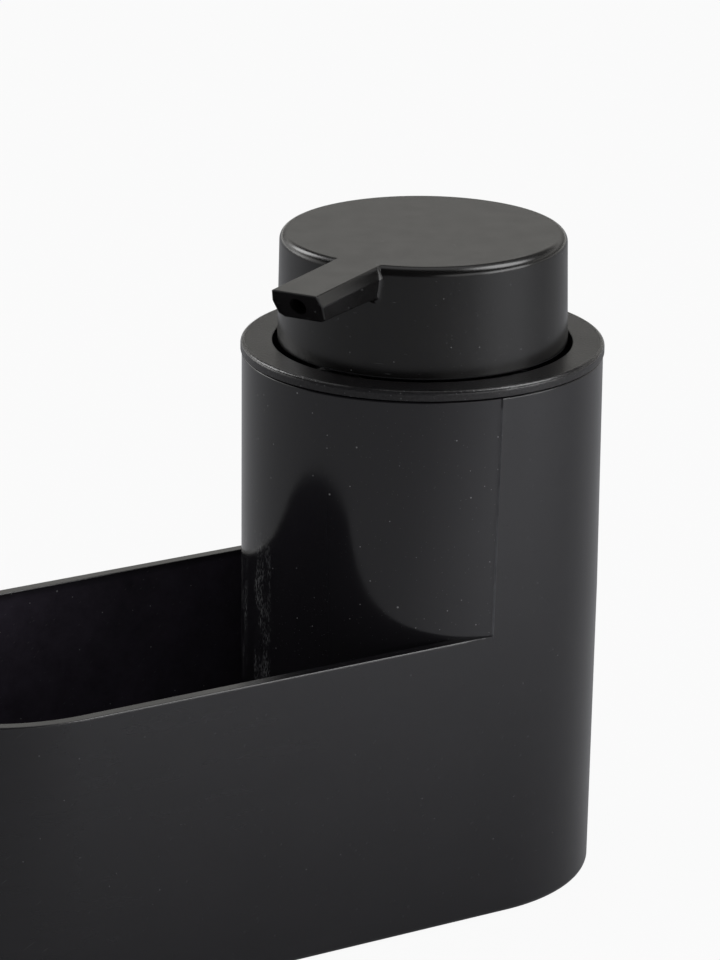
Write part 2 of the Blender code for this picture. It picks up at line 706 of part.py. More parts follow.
def head_shell(parts, axis, material):
    """Disc, skirt and the boss that grips the stem, all turned about the pump axis."""
    top_r = head_radius(HEAD_TOP_Z)
    inner = HEAD_R - HEAD_SKIRT_WALL
    inner_top = top_r - HEAD_SKIRT_WALL
    socket = STEM_R + FIT_GAP
    edge = (top_r - HEAD_TOP_ROUND, HEAD_TOP_Z - HEAD_TOP_ROUND)
    foot = (HEAD_R - HEAD_FOOT_ROUND, HEAD_Z + HEAD_FOOT_ROUND)
    profile = [(0, HEAD_TOP_Z)] + rounded(edge, HEAD_TOP_ROUND, 90, 0)
    profile += rounded(foot, HEAD_FOOT_ROUND, 0, -90)
    profile += [(inner, HEAD_Z), (inner_top, HEAD_UNDER_Z), (BOSS_R, HEAD_UNDER_Z)]
    profile += [(BOSS_R, BOSS_Z), (socket, BOSS_Z), (socket, STEM_SOCKET_Z)]
    profile += [(NOZZLE_R, STEM_SOCKET_Z), (NOZZLE_R, NOZZLE_Z), (0, NOZZLE_Z)]
    return turned("pump_head", profile, parts, material, parent=axis)


def spout_section(reach, grow, slant):
    """Outline across the spout: flat top, a crease at each side and a narrower underside."""
    tip_share = (reach - HEAD_R) / (SPOUT_REACH - HEAD_R)
    depth = SPOUT_ROOT_HEIGHT + (SPOUT_TIP_HEIGHT - SPOUT_ROOT_HEIGHT) * tip_share + grow
    bottom = SPOUT_BOTTOM_HALF + grow
    half = [(SPOUT_TOP_HALF + grow, 0), (SPOUT_CREASE_HALF + grow, SPOUT_CREASE_DROP)]
    half += [(bottom + SPOUT_CORNER / 2, depth - SPOUT_CORNER), (bottom - SPOUT_CORNER, depth)]
    ring = half + [(-aside, drop) for aside, drop in reversed(half)]
    along = Vector((math.cos(SPOUT_TURN), math.sin(SPOUT_TURN), 0))
    across = Vector((-along.y, along.x, 0))
    points = []
    for aside, drop in ring:
        point = along * (reach - drop * slant) + across * aside
        points.append((point.x, point.y, HEAD_TOP_Z - drop))
    return points


def spout(cutters, axis):
    """Starts under the disc's rim, flows out of the skirt in a fillet and ends undercut."""
    skirt = head_radius(HEAD_TOP_Z)
    sections = [spout_section(skirt - 2 * HEAD_TOP_ROUND, SPOUT_FILLET, 0)]
    for i in range(ROUND_STEPS + 1):
        a = math.pi / 2 * i / ROUND_STEPS
        reach = skirt + SPOUT_FILLET * (1 - math.cos(a))
        sections.append(spout_section(reach, SPOUT_FILLET * (1 - math.sin(a)), 0))
    sections.append(spout_section(SPOUT_REACH, 0, math.tan(SPOUT_UNDERCUT)))
    return lofted("join_spout", sections, cutters, parent=axis)


def along_spout(reach):
    return (reach * math.cos(SPOUT_TURN), reach * math.sin(SPOUT_TURN), NOZZLE_Z)


def pump_head(parts, cutters, axis, material):
    head = head_shell(parts, axis, material)
    boolean(head, spout(cutters, axis), "UNION")
    rib_start = (STEM_R + FIT_GAP + BOSS_R) / 2
    rib_end = head_radius(HEAD_TOP_Z) - HEAD_SKIRT_WALL / 2
    low, high = along_spout(rib_start), along_spout(rib_end)
    boolean(head, rod("join_duct", NOZZLE_R + DUCT_WALL, low, high, cutters, parent=axis), "UNION")
    mouth = along_spout(SPOUT_REACH + OVERRUN)
    duct = rod("cut_duct", NOZZLE_R, along_spout(0), mouth, cutters, parent=axis)
    boolean(head, duct, "DIFFERENCE")
    return head


def main():
    clear_scene()
    parts = new_collection("sink_caddy_soap_dispenser")
    cutters = new_collection("cutters")
    satin = new_material("satin_black_abs", BLACK, 0.42)
    matt = new_material("matt_black_pp", HEAD_BLACK, 0.55)
    rubber = new_material("black_rubber", RUBBER_BLACK, 0.85)
    silicone = new_material("grey_silicone", SILICONE_GREY, 0.6)
    natural = new_material("natural_pp", NATURAL, 0.45)
    foam = new_material("white_pe_foam", FOAM_WHITE, 0.9)
    steel = new_material("stainless_steel", STEEL, 0.25, 1.0)

    lid_axis = new_axis("lid_axis", parts)
    press_axis = new_axis("press_axis", parts, lid_axis)
    turn_axis = new_axis("turn_axis", parts, press_axis)

    caddy_body(parts, cutters, lid_axis, satin)
    feet(parts, rubber)

    lid(parts, lid_axis, matt)
    lid_seal(parts, lid_axis, silicone)
    neck_gasket(parts, lid_axis, foam)
    pump_housing(parts, lid_axis, natural)
    guide_collar(parts, lid_axis, natural)
    closure_nut(parts, lid_axis, matt)
    ball_cage(parts, cutters, lid_axis, natural)
    inlet_ball(parts, lid_axis, steel)
    dip_tube(parts, cutters, lid_axis, natural)
    return_spring(parts, lid_axis, steel)

    piston_seal(parts, press_axis, natural)
    piston_rod(parts, press_axis, natural)

    stem(parts, turn_axis, natural)
    pump_head(parts, cutters, turn_axis, matt)


if __name__ == "__main__":
    main()
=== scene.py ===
"""Sink caddy with a built-in soap dispenser, dressed for the picture.

One black moulding holds an open tray and a round soap tower. A ring lid closes the tower and
carries a pump with a wide flat head and a spout. Metres, +Z up, the tray lies towards -X.
"""

import math

import bmesh
import bpy
import numpy as np
from mathutils import Matrix, Vector


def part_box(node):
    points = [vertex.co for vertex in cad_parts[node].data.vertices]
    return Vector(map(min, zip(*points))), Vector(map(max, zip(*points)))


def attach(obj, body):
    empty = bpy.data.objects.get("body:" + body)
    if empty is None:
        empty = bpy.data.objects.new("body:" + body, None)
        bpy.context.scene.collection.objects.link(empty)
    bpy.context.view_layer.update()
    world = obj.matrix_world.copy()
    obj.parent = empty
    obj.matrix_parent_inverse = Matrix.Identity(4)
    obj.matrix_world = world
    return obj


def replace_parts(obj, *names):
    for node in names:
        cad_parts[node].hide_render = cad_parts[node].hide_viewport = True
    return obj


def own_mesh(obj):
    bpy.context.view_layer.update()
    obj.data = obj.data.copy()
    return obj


bl_info = {
    "name": "Sink caddy with soap dispenser",
    "version": (1, 0, 0),
    "blender": (4, 5, 0),
    "location": "View3D > Sidebar > Sink caddy",
    "description": "Builds a black sink caddy whose tower holds soap under a push pump",
    "category": "Add Mesh",
}

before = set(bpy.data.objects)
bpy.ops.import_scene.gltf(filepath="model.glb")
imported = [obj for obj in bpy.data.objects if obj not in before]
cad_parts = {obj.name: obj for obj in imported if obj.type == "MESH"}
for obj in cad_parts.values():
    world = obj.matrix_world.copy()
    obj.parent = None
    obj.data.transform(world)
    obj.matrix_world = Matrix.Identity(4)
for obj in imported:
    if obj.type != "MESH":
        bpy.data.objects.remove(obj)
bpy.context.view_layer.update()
MM = 0.001

# Places, heights and radii in millimetres, from the part's solids
TUBE_LOW, TUBE_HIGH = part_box("dip_tube")
PUMP_X = (TUBE_LOW.x + TUBE_HIGH.x) / 2 / MM
CENTRE_SPACING = 110.5
TRAY_X = PUMP_X - CENTRE_SPACING
BASE_Z = 1.0
UNDER_Z = 2.6
FLOOR_Z = 5.2
RIM_Z = 71.4
TOP_Z = 128.3
RIM_R = 42.1007
RESERVOIR_R = 39.1
BASE_ROUND = 1.5
BASE_EDGE = 3.2
TOP_ROUND = 0.4
PARTING_BACK = 4.5
LID_UNDER_Z = 128.6
LID_TOP_Z = 130.95
WELL_Z = 115.45
WELL_UNDER_Z = 113.25
HEAD_TOP_Z = 156.95
FOOT_OUT = 12
FOOT_ASIDE = 24
FOOT_SPOTS = [(x, y) for x in (TRAY_X - FOOT_OUT, PUMP_X + FOOT_OUT) for y in (FOOT_ASIDE, -FOOT_ASIDE)]

# Slopes of the moulding's walls
TOWER_DRAFT = math.tan(math.radians(0.1))
BODY_DRAFT = math.tan(math.radians(0.8))
TRAY_DRAFT = math.tan(math.radians(1.0))
FACE_LEAN = math.tan(math.radians(0.2))
PARTING_LEAN = math.tan(math.radians(1.5))
RESERVOIR_DRAFT = math.tan(math.radians(0.4))
HEAD_DRAFT = math.tan(math.radians(1.15))

# How finely round shapes are drawn
TURN_STEPS = 240
ROUND_STEPS = 8
WELD = 2e-6
SHARP_ANGLE = math.radians(35)
QUARTER = math.pi / 2


def length_property(name, description, millimetres):
    return bpy.props.FloatProperty(
        name=name, description=description, default=millimetres * MM, unit="LENGTH")


class CaddySizes(bpy.types.PropertyGroup):
    body_radius: length_property("Tower radius", "Outer radius of the tower at its top", 42.2)
    rim_thickness: length_property("Rim thickness", "Wall of the tray at its rim", 2.8)
    rim_round: length_property("Rim outer round", "Radius of the rim's outer edge", 0.35)
    rim_inner_round: length_property("Rim inner round", "Radius of the rim's inner edge", 0.25)
    floor_round: length_property("Tray floor round", "Radius between the tray's walls and floor", 4.0)
    parting_ridge: length_property("Parting ridge", "Height of the fine ridge down the tower", 0.05)


class PumpSizes(bpy.types.PropertyGroup):
    lid_radius: length_property("Lid radius", "Outer radius of the lid ring", 42.5)
    well_radius: length_property("Well radius", "Inner radius of the lid ring", 35.0)
    head_radius: length_property("Head radius", "Radius of the pump head at its foot", 33.9)
    head_round: length_property("Head edge round", "Radius of the head's top edge", 2.1)
    spout_reach: length_property("Spout reach", "From the pump axis to the spout's tip", 61.4)
    spout_turn: bpy.props.FloatProperty(
        name="Spout direction", description="Where the spout points, from +X",
        default=math.radians(-149.3), unit="ROTATION")
    spout_fillet: length_property("Spout root fillet", "Radius where the spout leaves the skirt", 1.1)


def colour_property(name, description, code):
    return bpy.props.FloatVectorProperty(
        name=name, description=description, subtype="COLOR", size=3, min=0, max=1,
        default=linear(code))


def linear(code):
    """An sRGB hex colour as linear light."""
    parts = np.array([int(code[i:i + 2], 16) for i in (1, 3, 5)]) / 255
    return tuple(np.where(parts <= 0.04045, parts / 12.92, ((parts + 0.055) / 1.055) ** 2.4))


class Colours(bpy.types.PropertyGroup):
    caddy: colour_property("Caddy", "Black ABS of the moulding", "#201f22")
    head: colour_property("Pump head", "Black PP of the head", "#131212")
    lid: colour_property("Lid", "Black PP of the lid ring", "#1b1a1b")
    rubber: colour_property("Feet", "Rubber of the feet", "#191919")
    natural: colour_property("Pump parts", "Unpigmented PP inside the pump", "#dcdcd6")
    silicone: colour_property("Lid seal", "Silicone of the lip seal", "#5e5f61")
    foam: colour_property("Gasket", "Foam of the neck washer", "#ebeae4")
    steel: colour_property("Steel", "Wire and ball", "#c4c6c8")
    floor: colour_property("Floor", "Pale studio floor", "#f0f1f5")


# Meshes


def grid_faces(rows, columns, wrapped):
    """Corner numbers of every quad between neighbouring rows and columns of a grid."""
    row, column = np.meshgrid(np.arange(rows - 1), np.arange(columns - (not wrapped)), indexing="ij")
    beside = (column + 1) % columns
    corners = (row * columns + column, row * columns + beside)
    corners += ((row + 1) * columns + beside, (row + 1) * columns + column)
    return np.stack(corners, axis=-1).reshape(-1, 4)


def new_object(name, mesh, body, slot, *materials):
    """A mesh with its materials, riding on a body. The slot is not used."""
    for material in materials:
        mesh.materials.append(material)
    obj = bpy.data.objects.new(name, mesh)
    bpy.context.scene.collection.objects.link(obj)
    if body:
        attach(obj, body)
    return obj


def closed_mesh(name, grids):
    """One closed surface from grids in millimetres, each given with its wrap and material.

    Rows that meet are welded, open loops are closed by flat faces, and faces point outwards.
    """
    points, faces, slots, count = [], [], [], 0
    for grid, wrapped, slot in grids:
        rows, columns = grid.shape[:2]
        quads = grid_faces(rows, columns, wrapped) + count
        points.append(grid.reshape(-1, 3) * MM)
        faces.append(quads)
        slots.append(np.full(len(quads), slot))
        count += rows * columns
    faces = np.concatenate(faces)
    mesh = bpy.data.meshes.new(name)
    mesh.vertices.add(count)
    mesh.vertices.foreach_set("co", np.concatenate(points).ravel())
    mesh.loops.add(faces.size)
    mesh.loops.foreach_set("vertex_index", faces.ravel())
    mesh.polygons.add(len(faces))
    mesh.polygons.foreach_set("loop_start", np.arange(0, faces.size, 4))
    mesh.polygons.foreach_set("material_index", np.concatenate(slots))
    mesh.update(calc_edges=True)
    shape = bmesh.new()
    shape.from_mesh(mesh)
    bmesh.ops.remove_doubles(shape, verts=shape.verts, dist=WELD)
    open_edges = [edge for edge in shape.edges if edge.is_boundary]
    if open_edges:
        bmesh.ops.holes_fill(shape, edges=open_edges, sides=0)
    bmesh.ops.recalc_face_normals(shape, faces=shape.faces)
    shape.to_mesh(mesh)
    shape.free()
    smooth(mesh)
    return mesh


def smooth(mesh):
    mesh.shade_smooth()
    mesh.set_sharp_from_angle(angle=SHARP_ANGLE)


def soft_path(corners, steps=ROUND_STEPS, closed=False):
    """A path of straight runs joined by rounds.

    Each corner is (r, z, radius). The round touches both runs, and a point just outside each
    of its ends keeps the run flat.
    """
    spots = np.array([corner[:2] for corner in corners], float)
    path = []
    for i, (r, z, radius) in enumerate(corners):
        here = spots[i]
        if radius <= 0 or (not closed and i in (0, len(corners) - 1)):
            path.append(here[None])
            continue
        back = spots[i - 1] - here
        on = spots[(i + 1) % len(spots)] - here
        back_length, on_length = np.hypot(*back), np.hypot(*on)
        back, on = back / back_length, on / on_length
        half = math.acos(np.clip(back @ on, -1, 1)) / 2
        reach = min(radius / math.tan(half), 0.45 * back_length, 0.45 * on_length)
        middle = back + on
        centre = here + middle / np.hypot(*middle) * reach / math.cos(half)
        first, last = here + back * reach - centre, here + on * reach - centre
        share = np.linspace(0, 1, steps + 1)[:, None]
        sweep = math.pi - 2 * half
        turn = (np.sin((1 - share) * sweep) * first + np.sin(share * sweep) * last)
        support = min(0.12 * reach, 0.1)
        path.append((here + back * (reach + support))[None])
        path.append(centre + turn / math.sin(sweep))
        path.append((here + on * (reach + support))[None])
    return np.concatenate(path)


def turned(path, steps=TURN_STEPS, x=PUMP_X, y=0.0):
    """A path (r, z) carried round the vertical axis at (x, y)."""
    r, z = path[:, 0, None], path[:, 1, None]
    turn = np.linspace(0, 2 * math.pi, steps, endpoint=False)[None]
    return np.stack([x + r * np.cos(turn), y + r * np.sin(turn), z + 0 * turn], axis=-1)


def turned_solid(path, **place):
    """A closed path that stays off the axis is carried round with its end joined to its start."""
    if path[:, 0].min() > 1e-6:
        path = np.vstack([path, path[:1]])
    return turned(path, **place), True, 0


def lerp(start, end, share):
    """The start plus a share of the way to the end."""
    return start + (end - start) * share


def as_grid(x, y, z):
    return np.stack(np.broadcast_arrays(x, y, z), axis=-1)


def column(values):
    return np.array(values, float)[:, None]


# The caddy moulding


def outer_radius(z, sizes):
    """Nearly straight above the rim, drafted below it."""
    top = sizes.body_radius / MM
    return top - (TOP_Z - np.maximum(z, RIM_Z)) * TOWER_DRAFT - np.maximum(RIM_Z - z, 0) * BODY_DRAFT


def face_x(z):
    """Centre of the tower's tray side, whose foot stands further towards the tray than its top."""
    return PUMP_X - (TOP_Z - z) * FACE_LEAN


def parting_x(z):
    """Where the parting line crosses a height. Below the rim it stays where it ends."""
    return PUMP_X - PARTING_BACK - (TOP_Z - np.maximum(z, RIM_Z)) * PARTING_LEAN


def ease(share):
    """From 0 to 1 with level ends: 3 s squared less 2 s cubed."""
    share = np.clip(share, 0, 1)
    return share * share * (3 - 2 * share)


# Half the parting step's width, and steps across, along and round the moulding
PARTING_HALF = 0.35
PARTING_POINTS = 9
STRAIGHT_STEPS = 4
SIDE_STEPS = 24
WEDGE_STEPS = 14
HALF_STEPS = TURN_STEPS // 2


def joined(*pieces):
    """Pieces of a plan, each an x and a y, set end to end."""
    return [np.concatenate(parts, axis=1) for parts in zip(*pieces)]


def between(piece):
    """A piece of a plan without its end points, which it shares with its neighbours."""
    return [part[:, 1:-1] for part in piece]


def tower_back(z, sizes, inset=0.0):
    """Plan points of the tower's free side, from the front parting line round +X to the back one.

    A short straight run, half a circle about the pump's axis, and the straight run again.
    """
    radius = outer_radius(z, sizes) - inset
    start = parting_x(z) + PARTING_HALF
    share = np.linspace(0, 1, STRAIGHT_STEPS + 1)[None, :-1]
    turn = np.linspace(-QUARTER, QUARTER, HALF_STEPS + 1)[None]
    front = lerp(start, PUMP_X, share), -radius + 0 * share
    back = lerp(PUMP_X, start, 1 - share[:, ::-1]), radius + 0 * share
    return joined(front, (PUMP_X + radius * np.cos(turn), radius * np.sin(turn)), back)


def tray_half(z, sizes):
    """Half the tray's inner width, which narrows evenly below the rim."""
    return RIM_R - sizes.rim_thickness / MM - (RIM_Z - z) * TRAY_DRAFT


def shared_turn(z, sizes, inset, radius):
    """Angle on the tower's face, from -X, at which the tray's straight wall meets it."""
    return np.arcsin((tray_half(z, sizes) - inset) / radius)


def parting_turn(z, radius):
    """Angle on the tower's face, from -X, at which the parting step ends."""
    return np.arccos((face_x(z) - parting_x(z) + PARTING_HALF) / radius)


def face_plan(z, radius, turn):
    """Plan points on the circle of the tray side, at angles from -X."""
    return face_x(z) - radius * np.cos(turn), radius * np.sin(turn)


def face_turns(z, sizes, radius):
    """Angles over the tower's face from the back parting line to the front one."""
    shared = shared_turn(RIM_Z, sizes, 0, sizes.body_radius / MM)
    wedge = np.linspace(0, 1, WEDGE_STEPS + 1)[None, :-1]
    edge = parting_turn(z, radius)
    outer = lerp(edge, shared, wedge)
    middle = np.linspace(shared, -shared, HALF_STEPS + 1)[None] + 0 * edge
    return np.concatenate([outer, middle, -outer[:, ::-1]], axis=1)


def parting_step(z, sizes, inset, radius, side):
    """The step across a parting line: an eased drop from the free side to the face.

    A bump, 1 less the square of the distance from its middle, rides on its first half.
    """
    share = np.linspace(0, 1, PARTING_POINTS)[None]
    x = parting_x(z) + PARTING_HALF * (1 - 2 * share)
    start = outer_radius(z, sizes) - inset
    end = radius * np.sin(parting_turn(z, radius))
    bump = np.clip(1 - ((share - 0.35) / 0.3) ** 2, 0, 1)
    ridge = sizes.parting_ridge / MM * ease((z - RIM_Z) / 1.5) * ease((TOP_Z - TOP_ROUND - z) / 0.5)
    y = lerp(start, end, ease((share - 0.3) / 0.7)) + ridge * bump
    if side < 0:
        return x[:, ::-1], -y[:, ::-1]
    return x, y


def tower_skin(z, sizes, inset):
    """The tower's whole outside above the rim, as one closed loop at each height."""
    radius = sizes.body_radius / MM - inset
    free = tower_back(z, sizes, inset)
    back = parting_step(z, sizes, inset, radius, 1)
    face = face_plan(z, radius, face_turns(z, sizes, radius))
    front = parting_step(z, sizes, inset, radius, -1)
    return joined(free, between(back), face, between(front))


def tray_run(straight_x, end_radius):
    """Plan points along the tray: back straight, half circle round its end, front straight."""
    turn = np.linspace(QUARTER, 3 * QUARTER, HALF_STEPS + 1)[None]
    level = 0 * straight_x + 0 * end_radius
    straight_x = straight_x + level
    back = straight_x[:, :-1], end_radius + level[:, :-1]
    front = straight_x[:, -2::-1], -end_radius - level[:, -2::-1]
    return joined(back, (TRAY_X + end_radius * np.cos(turn), end_radius * np.sin(turn)), front)


def straight_run(start):
    """Even steps along a straight wall, from the tower to the tray's round end."""
    return lerp(start, TRAY_X, np.linspace(0, 1, SIDE_STEPS + 1)[None])


def rim_outer(radius, sizes):
    """The outer edge of the tray's rim, from the back parting line to the front one."""
    tower = sizes.body_radius / MM
    corner, _ = face_plan(RIM_Z, tower, face_turns(np.full((1, 1), RIM_Z), sizes, tower))
    wedge = corner[:, :WEDGE_STEPS].copy()
    wedge[:, 0] = parting_x(RIM_Z) + PARTING_HALF
    straight = straight_run(corner[:, WEDGE_STEPS:WEDGE_STEPS + 1])
    back = wedge + 0 * radius, radius + 0 * wedge
    front = wedge[:, ::-1] + 0 * radius, -radius - 0 * wedge
    return joined(back, tray_run(straight, radius), front)


def rim_inner(sizes):
    """The inner edge of the rim: the tower's face in the wedges, then the tray's wall."""
    level = np.full((1, 1), RIM_Z)
    radius = sizes.body_radius / MM
    turns = face_turns(level, sizes, radius)[:, :WEDGE_STEPS]
    back = face_plan(level, radius, turns)
    front = face_plan(level, radius, -turns[:, ::-1])
    corner = face_plan(level, radius, shared_turn(level, sizes, 0, radius))[0]
    return joined(back, tray_run(straight_run(corner), tray_half(level, sizes)), front)


def rim_strip(sizes):
    """Across the rim at each column: outer round, flat top and inner round.

    The rounds fade out where the rim runs into the tower.
    """
    outer = np.stack(rim_outer(np.full((1, 1), RIM_R), sizes), axis=-1)[0]
    inner = np.stack(rim_inner(sizes), axis=-1)[0]
    across = inner - outer
    width = np.hypot(across[:, 0], across[:, 1])
    along = across / width[:, None]
    fade = np.clip(0.28 * (width - width[0]), 0, 1)
    outer_round = np.minimum(fade, sizes.rim_round / MM)
    corner_x = inner[WEDGE_STEPS, 0]
    inner_round = sizes.rim_inner_round / MM * ease((corner_x - outer[:, 0]) / 4)
    turn = np.linspace(0, QUARTER, ROUND_STEPS + 1)[:, None]
    rows_in, rows_z = [], []
    rows_in.append(outer_round * (1 - np.cos(turn)))
    rows_z.append(RIM_Z - outer_round * (1 - np.sin(turn)))
    share = np.linspace(0, 1, PARTING_POINTS)[1:-1, None]
    share = np.concatenate([[[0.03]], share[1:-1], [[0.97]]])
    rows_in.append(lerp(outer_round, width - inner_round, share))
    rows_z.append(RIM_Z + 0 * rows_in[-1])
    rows_in.append(width - inner_round * (1 - np.cos(turn[::-1])))
    rows_z.append(RIM_Z - inner_round * (1 - np.sin(turn[::-1])))
    inwards, z = np.concatenate(rows_in), np.concatenate(rows_z)
    x = outer[:, 0] + along[:, 0] * inwards
    y = outer[:, 1] + along[:, 1] * inwards
    # The end columns are the parting steps' own points
    level = np.full((1, 1), RIM_Z)
    flat = slice(ROUND_STEPS + 1, ROUND_STEPS + 1 + PARTING_POINTS - 2)
    radius = sizes.body_radius / MM
    for column, side in ((0, 1), (-1, -1)):
        step = parting_step(level, sizes, 0.0, radius, side)
        order = slice(1, -1) if side > 0 else slice(-2, 0, -1)
        x[flat, column], y[flat, column] = step[0][0, order], step[1][0, order]
    return as_grid(x, y, z), outer_round, inner_round


def body_loop(z, sizes, inset):
    """The body's whole outline: the tower's free side, then the rim's outer edge."""
    tray = rim_outer(outer_radius(z, sizes) - inset, sizes)
    return joined(tower_back(z, sizes, inset), between(tray))


def caddy_grids(sizes):
    """The moulding's grids, each a stack of plan loops from one height to the next."""
    strip, outer_round, inner_round = rim_strip(sizes)
    free_columns = 2 * STRAIGHT_STEPS + HALF_STEPS + 1
    grids = [(strip, False, 0)]

    # Outside below the rim: base round, then a drafted wall up to the rim's round
    turn = column(np.linspace(0, QUARTER, ROUND_STEPS + 1))
    low_z = BASE_Z + BASE_ROUND * (1 - np.cos(turn))
    low = as_grid(*body_loop(low_z, sizes, BASE_ROUND * (1 - np.sin(turn))), low_z)
    share = column([0, 0.004, 0.2, 0.4, 0.6, 0.8, 0.995, 1])
    level = lerp(BASE_Z + BASE_ROUND, RIM_Z, share)
    drop = np.concatenate([np.zeros(free_columns), outer_round[1:-1]])[None]
    wall = as_grid(*body_loop(level, sizes, 0), level - drop * share)
    grids += [(low, True, 0), (wall, True, 0)]

    # Underside: a narrow edge, a step up and a flat plate
    under_z = column([BASE_Z, BASE_Z, BASE_Z + 0.2, UNDER_Z, UNDER_Z])
    under_in = column([BASE_ROUND, BASE_EDGE - 0.2, BASE_EDGE, BASE_EDGE, BASE_EDGE + 0.4])
    grids.append((as_grid(*body_loop(under_z, sizes, under_in), under_z), True, 0))

    # Tower above the rim, with a round at its top edge
    share = column([*np.linspace(0, 0.96, 25), 0.97, 0.98, 0.99, 0.998, 1])
    upright = lerp(RIM_Z, TOP_Z - TOP_ROUND, share)
    top_z = TOP_Z - TOP_ROUND * (1 - np.sin(turn))
    z = np.concatenate([upright, top_z[1:]])
    inset = np.concatenate([0 * upright, TOP_ROUND * (1 - np.cos(turn[1:]))])
    skin = as_grid(*tower_skin(z, sizes, inset), z)
    free_end = free_columns + PARTING_POINTS - 2
    grids.append((skin[:, :free_columns + PARTING_POINTS - 1], False, 0))
    face_end = free_end + 2 * WEDGE_STEPS + HALF_STEPS + 1
    grids.append((skin[:, free_end:face_end], False, 1))
    grids.append((np.concatenate([skin[:, face_end - 1:], skin[:, :1]], axis=1), False, 0))

    # Top ring and reservoir, on the same columns
    rim = skin[-1]
    turn_to = np.arctan2(rim[:, 1], rim[:, 0] - PUMP_X)[None]
    floor_r = RESERVOIR_R - (TOP_Z - FLOOR_Z) * RESERVOIR_DRAFT
    mouth = soft_path([
        (RESERVOIR_R + 0.8, TOP_Z, 0), (RESERVOIR_R + 0.5, TOP_Z, 0.1),
        (RESERVOIR_R, TOP_Z - 0.5, 0.2), (floor_r, FLOOR_Z, 3), (0, FLOOR_Z, 0)])
    r, depth = mouth[:, 0, None], mouth[:, 1, None]
    inside = as_grid(PUMP_X + r * np.cos(turn_to), r * np.sin(turn_to), depth)
    near = lerp(rim, inside[0], 0.1)
    grids.append((np.concatenate([rim[None], near[None], inside]), True, 0))

    # Tray: walls, floor round and the start of the floor
    floor_round = sizes.floor_round / MM
    share = column([0, 0.004, 0.02, 0.2, 0.4, 0.6, 0.8, 0.99, 1])
    level = lerp(RIM_Z, FLOOR_Z + floor_round, share)
    round_turn = column(np.linspace(0, QUARTER, 2 * ROUND_STEPS + 1)[1:])
    round_z = FLOOR_Z + floor_round * (1 - np.sin(round_turn))
    nominal = np.concatenate([level, round_z, [[FLOOR_Z], [FLOOR_Z]]])
    round_in = floor_round * (1 - np.cos(round_turn))
    inset = np.concatenate([0 * level, round_in, floor_round + column([0.4, 1.5])])
    radius = sizes.body_radius / MM + inset
    shared = shared_turn(nominal, sizes, inset, radius)
    corner = face_plan(nominal, radius, shared)[0]
    x, y = tray_run(straight_run(corner), tray_half(nominal, sizes) - inset)
    fall = inner_round[WEDGE_STEPS:-WEDGE_STEPS][None] * np.clip(1 - (RIM_Z - nominal) / 60, 0, 1)
    fall[len(level):] = 0
    grids.append((as_grid(x, y, nominal - fall), False, 1))
    share = np.linspace(1, -1, HALF_STEPS + 1)[None]
    x, y = face_plan(nominal, radius, shared * share)
    grids.append((as_grid(x, y, nominal), False, 1))
    return grids


def socket_grids():
    """A ring boss under the floor round each foot, with the foot's socket in it."""
    grids = []
    for x, y in FOOT_SPOTS:
        path = soft_path([(0, 2.2, 0), (6.3, 2.2, 0), (6.3, 1.3, 0.1), (7.9, 1.3, 0.2),
                          (7.9, 3.4, 0), (0, 3.4, 0)], 3)
        grids.append((turned(path, 64, x, y), True, 0))
    return grids


# The pump head


HEAD_Z = LID_TOP_Z
HEAD_UNDER_Z = 154.65
HEAD_WALL = 2.1
BOSS_R = 6.2
BOSS_Z = 142.25
SOCKET_R = 4.1
SOCKET_Z = 150.65
NOZZLE_Z = HEAD_TOP_Z - 3.5
NOZZLE_R = 2.0
DUCT_START = 5.15
DUCT_WALL_R = 3.2

# How deep the spout's root reaches into the skirt, its height at the root and the tip, and half its
# width at three levels
ROOT_DEPTH = 3.6
ROOT_HEIGHT = 7.8
TIP_HEIGHT = 7.1
TOP_HALF = 5.65
CREASE_HALF = 6.4
BOTTOM_HALF = 5.5
CREASE_DROP = 2.9
TIP_SLANT = math.tan(math.radians(30))
TIP_SOFT = 0.35


def skirt_radius(z, sizes):
    """The skirt narrows evenly from its foot to the top."""
    return sizes.head_radius / MM - (z - HEAD_Z) * HEAD_DRAFT


def head_path(sizes):
    """Half section of the head: disc, skirt, and the boss that grips the stem."""
    foot, top = sizes.head_radius / MM, skirt_radius(HEAD_TOP_Z, sizes)
    rows = [(skirt_radius(z, sizes), z, 0) for z in np.linspace(HEAD_TOP_Z - 6, HEAD_Z + 1, 20)]
    return soft_path([
        (0, HEAD_TOP_Z, 0), (top, HEAD_TOP_Z, sizes.head_round / MM), *rows, (foot, HEAD_Z, 0.4),
        (foot - HEAD_WALL, HEAD_Z, 0.3), (top - HEAD_WALL, HEAD_UNDER_Z, 1.0),
        (BOSS_R, HEAD_UNDER_Z, 0.6), (BOSS_R, BOSS_Z, 0.3), (SOCKET_R, BOSS_Z, 0.3),
        (SOCKET_R, SOCKET_Z, 0), (NOZZLE_R, SOCKET_Z, 0), (NOZZLE_R, NOZZLE_Z, 0), (0, NOZZLE_Z, 0)])


def along_spout(out, aside, z, turn):
    """Points at a distance out along the spout and to its side, turned about the pump's axis."""
    x = out * math.cos(turn) - aside * math.sin(turn)
    y = out * math.sin(turn) + aside * math.cos(turn)
    return as_grid(PUMP_X + x, y, z)


